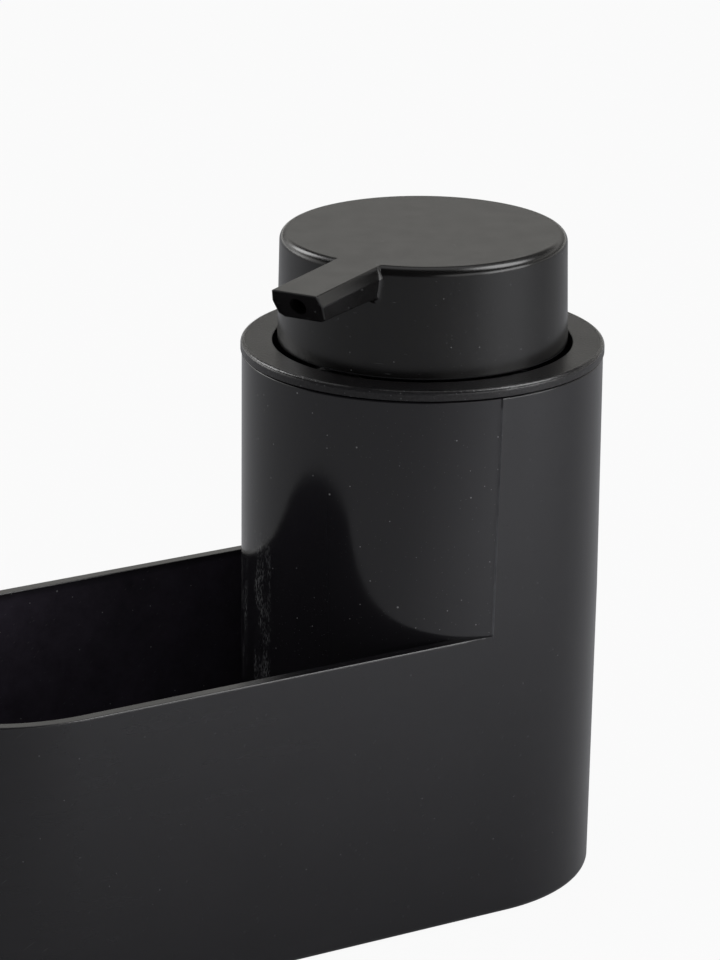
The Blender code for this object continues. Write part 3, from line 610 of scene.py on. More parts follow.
def spout_ring(reach, grow, slant, sink, share, sizes):
    """One outline across the spout: flat top, a crease at each side, a narrower underside.

    At the root it bends back with the skirt, and towards the tip it becomes flat.
    """
    depth = lerp(ROOT_HEIGHT, TIP_HEIGHT, share) + grow - sink
    bottom = BOTTOM_HALF + grow
    half = [(TOP_HALF + min(grow, 0), -sink, 0.3), (CREASE_HALF + grow, -CREASE_DROP, 1.0)]
    half += [(bottom + 0.4, 0.8 - depth, 0.5), (bottom - 0.8, -depth, 0.5)]
    ring = half + [(-aside, height, soft) for aside, height, soft in reversed(half)]
    path = soft_path(ring, 4, closed=True)
    aside, height = path[:, 0], path[:, 1]
    skirt = skirt_radius(HEAD_TOP_Z, sizes)
    bend = skirt - np.sqrt(skirt ** 2 - aside ** 2) + height * HEAD_DRAFT
    out = reach + height * slant - (1 - share) * bend
    return along_spout(out, aside, HEAD_TOP_Z + height, sizes.spout_turn)


def spout_grid(sizes):
    """Outlines along the spout: a flare out of the skirt, a straight run and a soft tip."""
    skirt, tip = skirt_radius(HEAD_TOP_Z, sizes), sizes.spout_reach / MM
    fillet = sizes.spout_fillet / MM
    rings = [spout_ring(skirt - ROOT_DEPTH, fillet, 0, 0, 0, sizes)]
    for turn in np.linspace(0, QUARTER, 11):
        out, grow = fillet * (1 - math.cos(turn)), fillet * (1 - math.sin(turn))
        rings.append(spout_ring(skirt + out, grow, 0, 0, 0, sizes))
    for share in (0.03, 0.25, 0.5, 0.75, 0.97):
        reach = lerp(skirt + fillet, tip - TIP_SOFT, share)
        rings.append(spout_ring(reach, 0, TIP_SLANT * share, 0, share, sizes))
    for turn in np.linspace(0, QUARTER, 5):
        inset = TIP_SOFT * (1 - math.cos(turn))
        reach = tip - TIP_SOFT + TIP_SOFT * math.sin(turn)
        rings.append(spout_ring(reach, -inset, TIP_SLANT, inset, 1, sizes))
    return np.stack(rings)


def bar_grid(radius, start, end, turn, steps=48):
    """A round bar along the spout's direction at the nozzle's height."""
    out = np.linspace(start, end, 2)[:, None]
    angle = np.linspace(0, 2 * math.pi, steps, endpoint=False)[None]
    return along_spout(out, radius * np.cos(angle), NOZZLE_Z + radius * np.sin(angle), turn)


def carved(name, base, steps):
    """The base mesh after a union or difference with each mesh in turn."""
    made = [bpy.data.objects.new(name, base)]
    bpy.context.scene.collection.objects.link(made[0])
    for operation, mesh in steps:
        other = bpy.data.objects.new(f"{name}_{len(made)}", mesh)
        bpy.context.scene.collection.objects.link(other)
        made.append(other)
        modifier = made[0].modifiers.new(operation, "BOOLEAN")
        modifier.operation, modifier.solver, modifier.object = operation, "EXACT", other
    bpy.context.view_layer.update()
    result = made[0].evaluated_get(bpy.context.evaluated_depsgraph_get())
    mesh = bpy.data.meshes.new_from_object(result)
    for obj in made:
        bpy.data.meshes.remove(obj.data)
    mesh.name = name
    smooth(mesh)
    return mesh


def head_mesh(sizes):
    """The turned head joined with the spout and bored through to the nozzle."""
    turn = sizes.spout_turn
    skirt = skirt_radius(NOZZLE_Z, sizes)
    shell = closed_mesh("head_shell", [turned_solid(head_path(sizes))])
    wall = bar_grid(DUCT_WALL_R, DUCT_START, skirt - 1, turn)
    duct = bar_grid(NOZZLE_R, 0, sizes.spout_reach / MM + 1, turn)
    return carved("pump_head_shell", shell, [
        ("UNION", closed_mesh("spout", [(spout_grid(sizes), True, 0)])),
        ("UNION", closed_mesh("duct_wall", [(wall, True, 0)])),
        ("DIFFERENCE", closed_mesh("duct", [(duct, True, 0)]))])


# The lid and the turned pump parts


PLUG_R = 38.75
WELL_WALL = 2
NECK_R = 12
NECK_BORE_R = 9.2
NECK_TOP_Z = 121.95


def lid_path(sizes):
    """Half section of the lid: ring, ribbed plug, well and neck."""
    outer, well = sizes.lid_radius / MM, sizes.well_radius / MM
    wall = well + WELL_WALL
    return soft_path([
        (well, LID_TOP_Z, 0.4), (outer, LID_TOP_Z, 0.95), (outer, LID_UNDER_Z, 0.15),
        (wall, LID_UNDER_Z, 0.3), (wall, 126, 0.3), (PLUG_R, 126, 0.2), (PLUG_R, 124.8, 0.2),
        (wall, 124.8, 0.2), (wall, 121.6, 0.2), (PLUG_R, 121.6, 0.2), (PLUG_R, 120.4, 0.2),
        (wall, 120.4, 0.3), (wall, WELL_UNDER_Z, 1.2), (NECK_BORE_R, WELL_UNDER_Z, 0.3),
        (NECK_BORE_R, NECK_TOP_Z, 0.3), (NECK_R, NECK_TOP_Z, 0.3), (NECK_R, WELL_Z, 0.8),
        (well, WELL_Z, 1.2)], closed=True)


# Piece: the node it replaces, body, slot and (r, z, round) down the outside and back
TURNED = {
    "lip_seal": ("lid_seal", "lid", "grey_silicone", [
        (37.3, 124.5, 0.1), (PLUG_R, 124.5, 0.1), (37.95, 123.2, 0.8), (PLUG_R, 121.9, 0.1),
        (37.3, 121.9, 0.1)]),
    "neck_washer": ("neck_gasket", "lid", "white_pe_foam", [
        (NECK_BORE_R, 123.45, 0.15), (11.8, 123.45, 0.15), (11.8, 122.25, 0.15),
        (NECK_BORE_R, 122.25, 0.15)]),
    "housing": ("pump_housing", "lid", "natural_pp", [
        (7.2, 125.15, 0.2), (11.8, 125.15, 0.2), (11.8, 123.75, 0.2), (8.6, 123.75, 0.4),
        (8.6, 70.15, 0.5), (4.5, 63.35, 0.8), (4.5, 50.85, 0.3), (3.2, 50.85, 0.2),
        (3.2, 61.85, 0.1), (1.9, 61.85, 0.2), (1.9, 63.35, 0.2), (3.3, 63.35, 0.2),
        (3.3, 70.15, 0.2), (7.2, 70.15, 0.3)]),
    "collar": ("guide_collar", "lid", "natural_pp", [
        (4.1, 129.65, 0.3), (6.6, 129.65, 0.3), (6.6, 126.65, 0.2), (10.6, 126.65, 0.2),
        (10.6, 125.45, 0.2), (6.9, 125.45, 0.2), (6.9, 110.45, 0.3), (4.1, 110.45, 0.2)]),
    "closure": ("closure_nut", "lid", "matt_black_pp", [
        (6.9, 128.45, 0.3), (14.7, 128.45, 0.6), (14.7, 116.25, 0.2), (12.3, 116.25, 0.2),
        (12.3, 126.95, 0.3), (6.9, 126.95, 0.2)]),
    "hollow_stem": ("stem", "head", "natural_pp", [
        (2, 150.35, 0.3), (3.8, 150.35, 0.3), (3.8, 110.15, 0.3), (5.4, 110.15, 0.3),
        (5.4, 107.75, 0.3), (2, 107.75, 0.2)]),
    "piston": ("piston_seal", "piston", "natural_pp", [
        (1.8, 107.45, 0.1), (5.9, 107.45, 0), (6.9, 107.45, 0.1), (5.9, 106.05, 0.5),
        (5.9, 102.45, 0.5), (6.9, 101.05, 0.1), (1.8, 101.05, 0.1)]),
    "rod": ("piston_rod", "piston", "natural_pp", [
        (0, 119.75, 0), (1.5, 119.75, 0.3), (1.5, 100.75, 0.3), (5.2, 100.75, 0.3),
        (5.2, 98.75, 0.3), (0, 98.75, 0)]),
}


def turned_piece(corners):
    """A solid or hollow part turned from its rounded half section."""
    hollow = corners[0][0] > 0
    return turned_solid(soft_path(corners, 4, closed=hollow), steps=96)


def tube_mesh():
    """The dip tube: inner and outer walls between a level top and a foot cut at a slant."""
    foot, top, slope = 7.7, 61.55, math.tan(math.radians(35))
    turn = np.linspace(0, 2 * math.pi, 96, endpoint=False)[None]
    radius = np.array([2.1, 2.1, 2.2, 2.8, 2.9, 2.9, 2.8, 2.2, 2.1])[:, None]
    share = np.array([0.0, 1, 1, 1, 1, 0, 0, 0, 0])[:, None]
    soften = np.array([0.1, -0.1, 0, 0, -0.1, 0.1, 0, 0, 0.1])[:, None]
    low = foot + (radius * np.cos(turn) + 2.9) * slope
    z = lerp(low, top, share) + soften
    grid = as_grid(PUMP_X + radius * np.cos(turn), radius * np.sin(turn), z)
    return closed_mesh("suction_tube", [(grid, True, 0)])


def spring_mesh():
    """A round wire along a helix whose first and last turns lie close, capped at both ends."""
    low, high = (corner.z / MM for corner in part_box("return_spring"))
    wire, radius, turns, closed_pitch = 0.45, 5.3, 8, 1.5
    low, high = low + wire, high - wire
    turn = np.linspace(0, turns, turns * 36 + 1)
    body = np.clip(turn - 1, 0, turns - 2) / (turns - 2)
    ends = np.minimum(turn, 1) + np.clip(turn - turns + 1, 0, 1)
    z = low + ends * closed_pitch + body * (high - low - 2 * closed_pitch)
    angle = 2 * math.pi * turn
    centre = np.stack([radius * np.cos(angle), radius * np.sin(angle), z], axis=-1)
    along = np.gradient(centre, axis=0)
    along /= np.linalg.norm(along, axis=1, keepdims=True)
    out = np.stack([np.cos(angle), np.sin(angle), 0 * angle], axis=-1)
    up = np.cross(along, out)
    around = np.linspace(0, 2 * math.pi, 12, endpoint=False)[None, :, None]
    grid = centre[:, None] + wire * (np.cos(around) * out[:, None] + np.sin(around) * up[:, None])
    ends = np.repeat(centre[[0, -1], None], 12, axis=1)
    grid = np.concatenate([ends[:1], grid, ends[1:]]) + np.array([PUMP_X, 0, 0])
    return closed_mesh("spring_wire", [(grid, True, 0)])


def foot_grid(x, y):
    """A rubber foot: a disc with a shallow hollow under it."""
    path = soft_path([
        (0, 1.9, 0), (6, 1.9, 0.2), (6, 0, 0.5), (4.6, 0, 0.1), (4.4, 0.25, 0.1), (0, 0.25, 0)], 5)
    return turned(path, 72, x, y), True, 0


# Materials


TIMES = {"operation": "MULTIPLY"}
TIMES_PLUS = {"operation": "MULTIPLY_ADD"}
LARGER = {"operation": "MAXIMUM"}
BLEND = {"data_type": "RGBA"}
# Grey of dust and scratches, and of the lid's painted glints
DUST_AND_GLINT_GREY = linear("#8d8e90")
LINT = linear("#a2a2a4")
# Light grey of painted highlights on the parting line, the lid's edge and the head's foot
HIGHLIGHT_GREY = linear("#86878b")
BLUE_HAZE = linear("#625a6a")


def add(tree, kind, settings=None, **links):
    """A shader node with its settings. A value may be a number, a colour, an output or a node."""
    node = tree.nodes.new("ShaderNode" + kind)
    for key, value in (settings or {}).items():
        setattr(node, key, value)
    for key, value in links.items():
        socket = node.inputs[int(key[1:]) if key[1:].isdigit() else key.replace("_", " ")]
        if isinstance(value, bpy.types.Node):
            value = next(output for output in value.outputs if output.enabled)
        if isinstance(value, bpy.types.NodeSocket):
            tree.links.new(value, socket)
        else:
            socket.default_value = (*value, 1) if socket.type == "RGBA" else value
    return node


def new_material(name):
    material = bpy.data.materials.new(name)
    material.use_nodes = True
    material.node_tree.nodes.clear()
    return material, material.node_tree


def start_material(name):
    """A new material, its nodes and its Object coordinates in millimetres."""
    material, tree = new_material(name)
    place = add(tree, "TexCoord").outputs["Object"]
    return material, tree, add(tree, "VectorMath", {"operation": "SCALE"}, _0=place, Scale=1 / MM)


def finish_material(material, **sockets):
    """The material with a Principled shader that has these colours, numbers and patterns."""
    shader = add(material.node_tree, "BsdfPrincipled", **sockets)
    add(material.node_tree, "OutputMaterial", Surface=shader)
    return material


def clouds(tree, place, across, low, high, **more):
    """Soft patches of the given width in millimetres, spread between a low and a high value."""
    noise = add(tree, "TexNoise", Vector=place, Scale=1 / across, **more)
    return add(tree, "MapRange", _0=noise, _1=0.3, _2=0.7, _3=low, _4=high)


def mottled(tree, place, across, colour, times, **more):
    """The colour in soft patches, between itself and so many times as light."""
    patches = clouds(tree, place, across, 0, 1, **more)
    return add(tree, "Mix", BLEND, _0=patches, _6=colour, _7=[times * part for part in colour])


def marked(tree, base, mark, strength, tint):
    """The base with a tint laid over it, as strong as the mark there times the strength."""
    cover = add(tree, "Math", TIMES, _0=mark, _1=strength)
    return add(tree, "Mix", BLEND, _0=cover, _6=base, _7=tint)


def grained(tree, place, across, depth, **more):
    """A normal from noise of the given width and depth in millimetres."""
    noise = add(tree, "TexNoise", Vector=place, Scale=1 / across, **more)
    return add(tree, "Bump", Strength=1, Distance=depth * MM, Height=noise)


def overlap(tree, *masks):
    """Where every mask holds: their product, kept between 0 and 1."""
    both = masks[0]
    for mask in masks[1:]:
        both = add(tree, "Math", {**TIMES, "use_clamp": True}, _0=both, _1=mask)
    return both


def round_specks(tree, place, apart, radius, share):
    """Round specks: a cell's middle shows where the cell's own chance is below the share."""
    cells = add(tree, "TexVoronoi", Vector=place, Scale=1 / apart).outputs
    chance = add(tree, "SeparateColor", _0=cells["Color"])
    kept = add(tree, "Math", {"operation": "LESS_THAN"}, _0=chance, _1=share)
    edge = radius / apart
    near = add(tree, "MapRange", _0=cells["Distance"], _1=edge, _2=0.5 * edge, _3=0, _4=1)
    return add(tree, "Math", TIMES, _0=kept, _1=near)


def scratches(tree, place, turn, share):
    """Short straight scratches: specks drawn in a space that is turned and stretched 40 times."""
    back = {"vector_type": "TEXTURE"}
    stretched = add(tree, "Mapping", back, Vector=place, Rotation=turn, Scale=(1, 1, 40))
    return round_specks(tree, stretched, 0.8, 0.09, share)


def within(tree, value, low, high, soft):
    """1 between low and high, fading to 0 over the soft width outside them."""
    up = add(tree, "MapRange", _0=value, _1=low - soft, _2=low, _3=0, _4=1)
    down = add(tree, "MapRange", _0=value, _1=high, _2=high + soft, _3=1, _4=0)
    return add(tree, "Math", TIMES, _0=up, _1=down)


def off_axis(tree, place):
    """Distance from the pump's upright axis."""
    plan = add(tree, "VectorMath", TIMES, _0=place, _1=(1, 1, 0))
    return add(tree, "VectorMath", {"operation": "DISTANCE"}, _0=plan, _1=(PUMP_X, 0, 0))


def satin_abs(colour):
    """Black ABS moulded against a fine satin tool: even sheen, slight waves, a few rubs and dust, and a
    painted parting line highlight.
    """
    material, tree, place = start_material("satin_abs")
    part = add(tree, "SeparateXYZ", _0=place).outputs
    level = add(tree, "Mapping", Vector=place, Scale=(0.2, 0.2, 1))
    base = mottled(tree, level, 3.5, colour, 1.12, Detail=3)
    base = marked(tree, base, scratches(tree, place, (0.3, 0.9, 0), 0.35), 0.12, DUST_AND_GLINT_GREY)
    # A painted highlight: a fine light line down the parting edge, most of all near the rim
    lean = add(tree, "Math", TIMES_PLUS, _0=part["Z"], _1=-PARTING_LEAN, _2=part["X"])
    middle = PUMP_X - PARTING_BACK - TOP_Z * PARTING_LEAN
    most = add(tree, "MapRange", _0=part["Z"], _1=RIM_Z + 34, _2=RIM_Z + 12, _3=0.3, _4=0.55)
    edge_highlight = overlap(
        tree, within(tree, lean, middle - 0.22, middle + 0.08, 0.08),
        within(tree, part["Z"], RIM_Z + 0.5, TOP_Z - 3, 1), most, clouds(tree, place, 5, 0.5, 1))
    base = marked(tree, base, edge_highlight, 1, HIGHLIGHT_GREY)
    base = marked(tree, base, round_specks(tree, place, 1.8, 0.18, 0.06), 0.45, DUST_AND_GLINT_GREY)
    # Real tool marks are near 1 mm and under a micron deep. They are drawn wider and deeper
    return finish_material(
        material, IOR=1.52, Base_Color=base, Normal=grained(tree, place, 2.6, 0.006, Detail=1),
        Roughness=clouds(tree, place, 22, 0.19, 0.24, Detail=3))


def polished_abs(colour):
    """Black ABS against a polished tool, marked by use: hazy water streaks, scratches and dust."""
    material, tree, place = start_material("polished_abs")
    part = add(tree, "SeparateXYZ", _0=place).outputs
    # Dried drops lie in two upright bands on the side of the tower that faces the tray
    tall = add(tree, "Mapping", Vector=place, Scale=(1, 1, 0.45))
    bands = add(tree, "Math", LARGER, _0=within(tree, part["Y"], -1.5, 4.5, 1.5),
                _1=within(tree, part["Y"], 11, 21, 1.5))
    run = overlap(
        tree, clouds(tree, tall, 0.42, -0.7, 1.2, Detail=2), clouds(tree, tall, 3.5, -0.5, 1.1, Detail=2),
        bands, within(tree, part["X"], PUMP_X - 44, PUMP_X - 20, 2), within(tree, part["Z"], 56, 84, 9))
    # Haze lies low in the tray and most at its far end
    far = within(tree, part["X"], TRAY_X - 45, TRAY_X - 2, 34)
    haze = overlap(
        tree, add(tree, "Math", TIMES_PLUS, _0=far, _1=0.35, _2=0.4),
        within(tree, part["Z"], FLOOR_Z - 1, RIM_Z - 2, 2),
        within(tree, off_axis(tree, place), 46, 300, 3),
        clouds(tree, place, 9, 0.4, 1, Detail=8, Roughness=0.75))
    specks = add(tree, "Math", LARGER, _0=round_specks(tree, place, 1.6, 0.17, 0.12),
                 _1=round_specks(tree, place, 3.6, 0.28, 0.08))
    base = marked(tree, [1.1 * level for level in colour], haze, 1, BLUE_HAZE)
    base = marked(tree, base, run, 1, DUST_AND_GLINT_GREY)
    base = marked(tree, base, scratches(tree, place, (0.2, 1, 0.5), 0.6), 0.25, DUST_AND_GLINT_GREY)
    base = marked(tree, base, specks, 1, LINT)
    rough = add(tree, "Math", TIMES_PLUS, _0=run, _1=0.12,
                _2=clouds(tree, place, 25, 0.1, 0.15, Detail=2))
    return finish_material(
        material, IOR=1.52, Base_Color=base, Roughness=rough,
        Normal=grained(tree, place, 3.5, 0.005, Detail=1))


def eroded_pp(colour):
    """Black PP against a spark-eroded tool: a close even grain that glitters where it is dark, helped by
    painted light specks.
    """
    material, tree, place = start_material("eroded_pp")
    base = mottled(tree, place, 0.45, colour, 2.4, Detail=2)
    # Light specks in the colour: dust, and painted glints of the grain
    base = marked(tree, base, round_specks(tree, place, 0.9, 0.2, 0.3), 0.45, DUST_AND_GLINT_GREY)
    # The ring's outer edge is handled and its grain worn smooth; its colour is lightened there as a
    # painted highlight
    height = add(tree, "SeparateXYZ", _0=place).outputs["Z"]
    edge_highlight = overlap(tree, within(tree, off_axis(tree, place), 41.7, 43, 0.2),
                   within(tree, height, LID_TOP_Z - 0.7, LID_TOP_Z + 1, 0.3))
    base = marked(tree, base, edge_highlight, 0.05, HIGHLIGHT_GREY)
    rough = add(tree, "Math", TIMES_PLUS, _0=edge_highlight, _1=-0.18,
                _2=clouds(tree, place, 12, 0.28, 0.32, Detail=2))
    # Real grain is near 0.1 mm. It is drawn at 0.5 mm so that it shows
    return finish_material(
        material, IOR=1.49, Specular_IOR_Level=0.42, Base_Color=base, Roughness=rough,
        Normal=grained(tree, place, 0.5, 0.09, Detail=2))


def satin_pp(colour):
    """Black PP of the pressed head: satin sheen, a slightly mottled top rubbed by hands, a painted
    highlight round the foot.
    """
    material, tree, place = start_material("satin_pp")
    base = mottled(tree, place, 8, colour, 1.3, Detail=4)
    base = marked(tree, base, scratches(tree, place, (1.57, 0, 0.7), 0.5), 0.25, DUST_AND_GLINT_GREY)
    base = marked(tree, base, round_specks(tree, place, 1.6, 0.2, 0.1), 0.6, DUST_AND_GLINT_GREY)
    # The skirt's foot is worn light where it rubs against the lid
    # A painted highlight: a thin light band round the skirt's foot, level with the lid's top
    height = add(tree, "SeparateXYZ", _0=place).outputs["Z"]
    base = marked(tree, base, within(tree, height, HEAD_Z - 1, HEAD_Z + 0.3, 0.2), 0.15, HIGHLIGHT_GREY)
    # Real satin grain is near 0.05 mm. It is drawn at 0.5 mm so that it shows
    return finish_material(
        material, IOR=1.49, Base_Color=base, Normal=grained(tree, place, 0.5, 0.005, Detail=3),
        Roughness=clouds(tree, place, 6, 0.21, 0.26, Detail=5))


def natural_pp(colour):
    """Unpigmented PP: milky, waxy, light goes a little way in."""
    material, tree, place = start_material("natural_pp")
    marks = clouds(tree, place, 0.6, 0, 1, Detail=2)
    return finish_material(
        material, IOR=1.49, Subsurface_Weight=0.25, Subsurface_Scale=0.002,
        Base_Color=mottled(tree, place, 4, colour, 0.9, Detail=3),
        Normal=add(tree, "Bump", Strength=1, Distance=0.004 * MM, Height=marks),
        Roughness=clouds(tree, place, 5, 0.36, 0.46, Detail=2))


def soft_finish(name, colour, grain, depth, rough, ior):
    """Moulded silicone, rubber or cut foam: dull, with a grain of the given width and depth."""
    material, tree, place = start_material(name)
    grains = add(tree, "TexNoise", Vector=place, Scale=1 / grain, Detail=3)
    dark, light = ([times * part for part in colour] for times in (0.8, 1.15))
    return finish_material(
        material, IOR=ior, Base_Color=add(tree, "Mix", BLEND, _0=grains, _6=dark, _7=light),
        Normal=grained(tree, place, grain, depth, Detail=3),
        Roughness=clouds(tree, place, 3, rough - 0.06, rough + 0.06))


def drawn_steel(colour):
    """Bright drawn stainless wire and a lapped ball: fine lines and soft tool marks."""
    material, tree, place = start_material("drawn_steel")
    lines = clouds(tree, add(tree, "Mapping", Vector=place, Scale=(1, 1, 6)), 0.4, 0, 1)
    return finish_material(
        material, Metallic=1, Base_Color=mottled(tree, place, 2, colour, 0.88),
        Normal=add(tree, "Bump", Strength=1, Distance=0.002 * MM, Height=lines),
        Roughness=clouds(tree, place, 1.5, 0.16, 0.28))


# Operators


def sizes_of(context):
    return context.scene.caddy_sizes, context.scene.pump_sizes, context.scene.caddy_colours


class BuildCaddy(bpy.types.Operator):
    """Builds the tray and tower moulding"""
    bl_idname = "sink_caddy.body"
    bl_label = "Caddy moulding"

    def execute(self, context):
        sizes, _, colours = sizes_of(context)
        satin, slot = satin_abs(colours.caddy), "satin_black_abs"
        mesh = closed_mesh("caddy_moulding", caddy_grids(sizes))
        obj = new_object("caddy_moulding", mesh, "caddy", slot, satin, polished_abs(colours.caddy))
        new_object("foot_sockets", closed_mesh("foot_sockets", socket_grids()), "caddy", slot, satin)
        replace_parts(obj, "caddy_body")
        return {"FINISHED"}


class BuildLid(bpy.types.Operator):
    """Builds the lid with its ring, plug, well and neck"""
    bl_idname = "sink_caddy.lid"
    bl_label = "Lid"

    def execute(self, context):
        _, sizes, colours = sizes_of(context)
        mesh = closed_mesh("lid_ring", [turned_solid(lid_path(sizes))])
        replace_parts(new_object("lid_ring", mesh, "lid", "matt_black_pp", eroded_pp(colours.lid)), "lid")
        return {"FINISHED"}


class BuildHead(bpy.types.Operator):
    """Builds the pump head with its spout"""
    bl_idname = "sink_caddy.head"
    bl_label = "Pump head"

    def execute(self, context):
        _, sizes, colours = sizes_of(context)
        mesh = head_mesh(sizes)
        mesh.materials.clear()
        obj = new_object("pump_head_shell", mesh, "head", "matt_black_pp", satin_pp(colours.head))
        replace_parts(obj, "pump_head")
        return {"FINISHED"}


class BuildPump(bpy.types.Operator):
    """Builds the pump's turned parts, its tube and its spring"""
    bl_idname = "sink_caddy.pump"
    bl_label = "Pump parts"

    def execute(self, context):
        colours = context.scene.caddy_colours
        natural, steel = natural_pp(colours.natural), drawn_steel(colours.steel)
        rubber = soft_finish("moulded_rubber", colours.rubber, 0.3, 0.01, 0.7, 1.52)
        made = {
            "natural_pp": natural,
            "stainless_steel": steel,
            "matt_black_pp": bpy.data.materials["eroded_pp"],
            "grey_silicone": soft_finish("moulded_silicone", colours.silicone, 0.5, 0.006, 0.5, 1.41),
            "white_pe_foam": soft_finish("cut_foam", colours.foam, 0.45, 0.08, 0.88, 1.5),
        }
        for name, (node, body, slot, corners) in TURNED.items():
            mesh = closed_mesh(name, [turned_piece(corners)])
            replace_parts(new_object(name, mesh, body, slot, made[slot]), node)
        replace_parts(new_object("suction_tube", tube_mesh(), "lid", "natural_pp", natural), "dip_tube")
        spring = new_object("spring_wire", spring_mesh(), "lid", "stainless_steel", steel)
        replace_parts(spring, "return_spring")
        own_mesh(spring)
        for i, spot in enumerate(FOOT_SPOTS, 1):
            name = f"rubber_foot_{i}"
            mesh = closed_mesh(name, [foot_grid(*spot)])
            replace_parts(new_object(name, mesh, "caddy", "black_rubber", rubber), f"foot_{i}")
        for node, material in (("inlet_ball", steel), ("ball_cage", natural)):
            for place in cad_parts[node].material_slots:
                place.material = material
        return {"FINISHED"}


# Lamps: size, spread and roll in degrees, watts, place and the point that each one faces
LAMPS = [
    ("front_softbox", (0.65, 0.24), 180, 0, 2.0, (0.6, -0.72, 0.22), (0.055, 0.0, 0.1)),
    ("back_softbox", (0.35, 0.2), 180, 0, 0.4, (-0.46, 0.73, 0.26), (0.055, 0.0, 0.1)),
    ("strip_light", (0.5, 0.05), 68.5, -49, 0.38, (0.155, -0.16, 0.5), (0.3, -0.41, 0.0)),
]
# The way to the backdrop behind the object
SKY_BEHIND = (0.512, 0.859, 0)
# Height of a direction, 1 straight up, and how bright gloss sees the backdrop there. Above the last
# level it rises evenly to white
SKY_LEVELS = [(0, 1.1), (0.15, 0.03), (0.34, 0.9), (0.5, 0.1), (0.6, 0.03)]
# Light cards that only gloss sees: the way to one, where its sides end and are full, how bright
LIGHT_CARDS = [((0.3, -0.954, 0), 0.7, 0.97, 2.35), ((-0.574, 0.819, 0), 0.7, 0.97, 1.2)]
# Small high cards that only the soft edges mirror
EDGE_CARDS = [((0.544, -0.289, 0.788), 0.93, 0.98, 7.0), ((-0.215, 0.801, 0.559), 0.97, 0.99, 6.0)]


def clear_rays(tree):
    """Camera rays, and rays that metal, gloss and glass send out."""
    path = add(tree, "LightPath").outputs
    clear = add(tree, "Math", LARGER, _0=path["Is Glossy Ray"], _1=path["Is Transmission Ray"])
    return path["Is Camera Ray"], clear


def studio_sky():
    """White to the camera, even to diffuse rays, and to gloss a dim room with a backdrop and cards."""
    world = bpy.data.worlds.new("studio")
    world.use_nodes = True
    tree = world.node_tree
    tree.nodes.clear()
    camera, clear = clear_rays(tree)
    way = add(tree, "TexCoord").outputs["Generated"]
    height = add(tree, "SeparateXYZ", _0=way).outputs["Z"]
    level = add(tree, "ValToRGB", _0=height)
    stops = level.color_ramp.elements
    for position, share in SKY_LEVELS:
        stop = stops.new(position) if position else stops[0]
        stop.color = (share, 0.985 * share, 0.94 * share, 1)
    facing, eased = {"operation": "DOT_PRODUCT"}, {"interpolation_type": "SMOOTHSTEP"}
    behind = add(tree, "VectorMath", facing, _0=way, _1=SKY_BEHIND)
    back = add(tree, "MapRange", eased, _0=behind, _1=-0.25, _2=0.3, _3=0, _4=1)
    gloss = add(tree, "Mix", BLEND, _0=back, _6=(0.03, 0.03, 0.03), _7=level)
    rise = add(tree, "MapRange", _0=height, _1=-0.02, _2=0.28, _3=0.3, _4=1)
    fall = add(tree, "MapRange", _0=height, _1=0.29, _2=0.35, _3=1, _4=0)
    low = add(tree, "Math", TIMES, _0=rise, _1=fall)
    for direction, end, full, brightness in LIGHT_CARDS + EDGE_CARDS:
        near = add(tree, "VectorMath", facing, _0=way, _1=direction)
        wide = add(tree, "MapRange", eased, _0=near, _1=end, _2=full, _3=0, _4=brightness)
        card = add(tree, "Math", TIMES, _0=wide, _1=1 if direction[2] else low)
        gloss = add(tree, "Mix", {**BLEND, "blend_type": "ADD"}, _0=1, _6=gloss, _7=card)
    room = add(tree, "Mix", BLEND, _0=clear, _6=(0.3, 0.3, 0.3), _7=gloss)
    seen = add(tree, "Mix", BLEND, _0=camera, _6=room, _7=(1, 1, 1))
    sky = add(tree, "Background", Color=seen, Strength=1)
    add(tree, "OutputWorld", Surface=sky)
    return world


FLOOR_HALF = 5.0
# How much plain white the camera and gloss see in the floor. The rest is lit paper with its shadow
WHITE_TO_CAMERA = 0.94
WHITE_TO_GLOSS = 0.06


class BuildStage(bpy.types.Operator):
    """Sets up the floor, the lights, the sky and the camera"""
    bl_idname = "sink_caddy.stage"
    bl_label = "Studio"

    def execute(self, context):
        colours = context.scene.caddy_colours
        mesh = bpy.data.meshes.new("studio_floor")
        corners = [(x * FLOOR_HALF, y * FLOOR_HALF, 0) for x, y in ((-1, -1), (1, -1), (1, 1), (-1, 1))]
        mesh.from_pydata(corners, [], [(0, 1, 2, 3)])
        floor = new_object("studio_floor", mesh, None, None)
        material, tree = new_material("studio_paper")
        paper = add(tree, "BsdfPrincipled", Base_Color=colours.floor, Roughness=0.9,
                    Specular_IOR_Level=0)
        camera, clear = clear_rays(tree)
        seen = add(tree, "Math", TIMES, _0=camera, _1=WHITE_TO_CAMERA)
        share = add(tree, "Math", TIMES_PLUS, _0=clear, _1=WHITE_TO_GLOSS, _2=seen)
        glow = add(tree, "Emission", Color=(1, 1, 1), Strength=1)
        mix = add(tree, "MixShader", _0=share, _1=paper, _2=glow)
        add(tree, "OutputMaterial", Surface=mix)
        mesh.materials.append(material)

        context.scene.world = studio_sky()
        for name, size, spread, roll, watts, place, aim in LAMPS:
            lamp = bpy.data.lights.new(name, "AREA")
            lamp.shape, (lamp.size, lamp.size_y), lamp.energy = "RECTANGLE", size, watts
            lamp.spread = math.radians(spread)
            box = bpy.data.objects.new(name, lamp)
            context.scene.collection.objects.link(box)
            box.matrix_world = look_at(place, aim) @ Matrix.Rotation(math.radians(roll), 4, "Z")
            box.visible_camera = False

        place_camera(context)
        context.scene.view_settings.view_transform = "Standard"
        return {"FINISHED"}


def look_at(place, target):
    """A place and a turn that points -Z at the target."""
    place, target = Vector(place), Vector(target)
    turn = (place - target).to_track_quat("Z", "Y")
    return Matrix.Translation(place) @ turn.to_matrix().to_4x4()


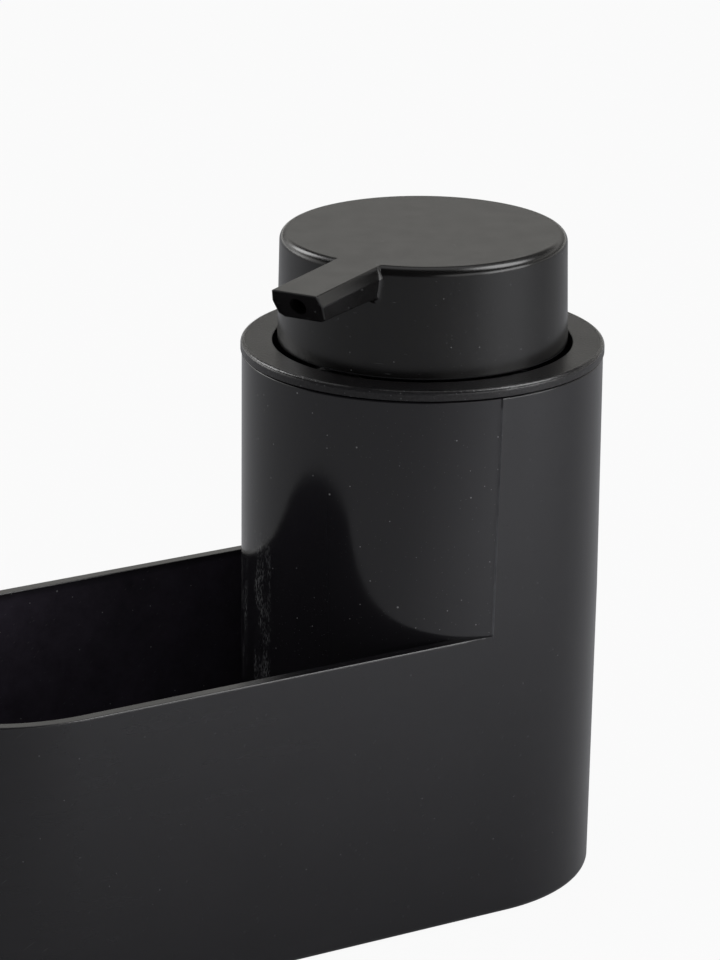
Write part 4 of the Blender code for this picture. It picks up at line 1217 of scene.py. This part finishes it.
CAMERA_AZIMUTH = math.radians(30.833)
CAMERA_ELEVATION = math.radians(18.3305)
CAMERA_ROLL = math.radians(0.3813)
CAMERA_PLACE = (-0.463653, -0.840997, 0.423256)
CAMERA_LENS = 165.43


def place_camera(context):
    camera = bpy.data.cameras.new("photo_camera")
    camera.sensor_fit = "AUTO"
    camera.sensor_width = 36
    camera.lens = CAMERA_LENS
    camera.clip_start, camera.clip_end = 0.01, 100
    obj = bpy.data.objects.new("photo_camera", camera)
    context.scene.collection.objects.link(obj)
    turn = Matrix.Rotation(-CAMERA_AZIMUTH, 3, "Z")
    turn = turn @ Matrix.Rotation(QUARTER - CAMERA_ELEVATION, 3, "X")
    turn = turn @ Matrix.Rotation(CAMERA_ROLL, 3, "Z")
    obj.matrix_world = Matrix.Translation(CAMERA_PLACE) @ turn.to_4x4()
    context.scene.camera = obj


class CaddyPanel(bpy.types.Panel):
    bl_idname = "VIEW3D_PT_sink_caddy"
    bl_label = "Sink caddy"
    bl_space_type = "VIEW_3D"
    bl_region_type = "UI"
    bl_category = "Sink caddy"

    def draw(self, context):
        for operator in OPERATORS:
            self.layout.operator(operator.bl_idname)


GROUPS = (CaddySizes, PumpSizes, Colours)
OPERATORS = (BuildCaddy, BuildLid, BuildHead, BuildPump, BuildStage)


def register():
    for item in GROUPS + OPERATORS + (CaddyPanel,):
        bpy.utils.register_class(item)
    bpy.types.Scene.caddy_sizes = bpy.props.PointerProperty(type=CaddySizes)
    bpy.types.Scene.pump_sizes = bpy.props.PointerProperty(type=PumpSizes)
    bpy.types.Scene.caddy_colours = bpy.props.PointerProperty(type=Colours)


def unregister():
    del bpy.types.Scene.caddy_sizes, bpy.types.Scene.pump_sizes, bpy.types.Scene.caddy_colours
    for item in reversed(GROUPS + OPERATORS + (CaddyPanel,)):
        bpy.utils.unregister_class(item)


def main():
    register()
    for operator in OPERATORS:
        group, name = operator.bl_idname.split(".")
        getattr(getattr(bpy.ops, group), name)()


if __name__ == "__main__":
    main()
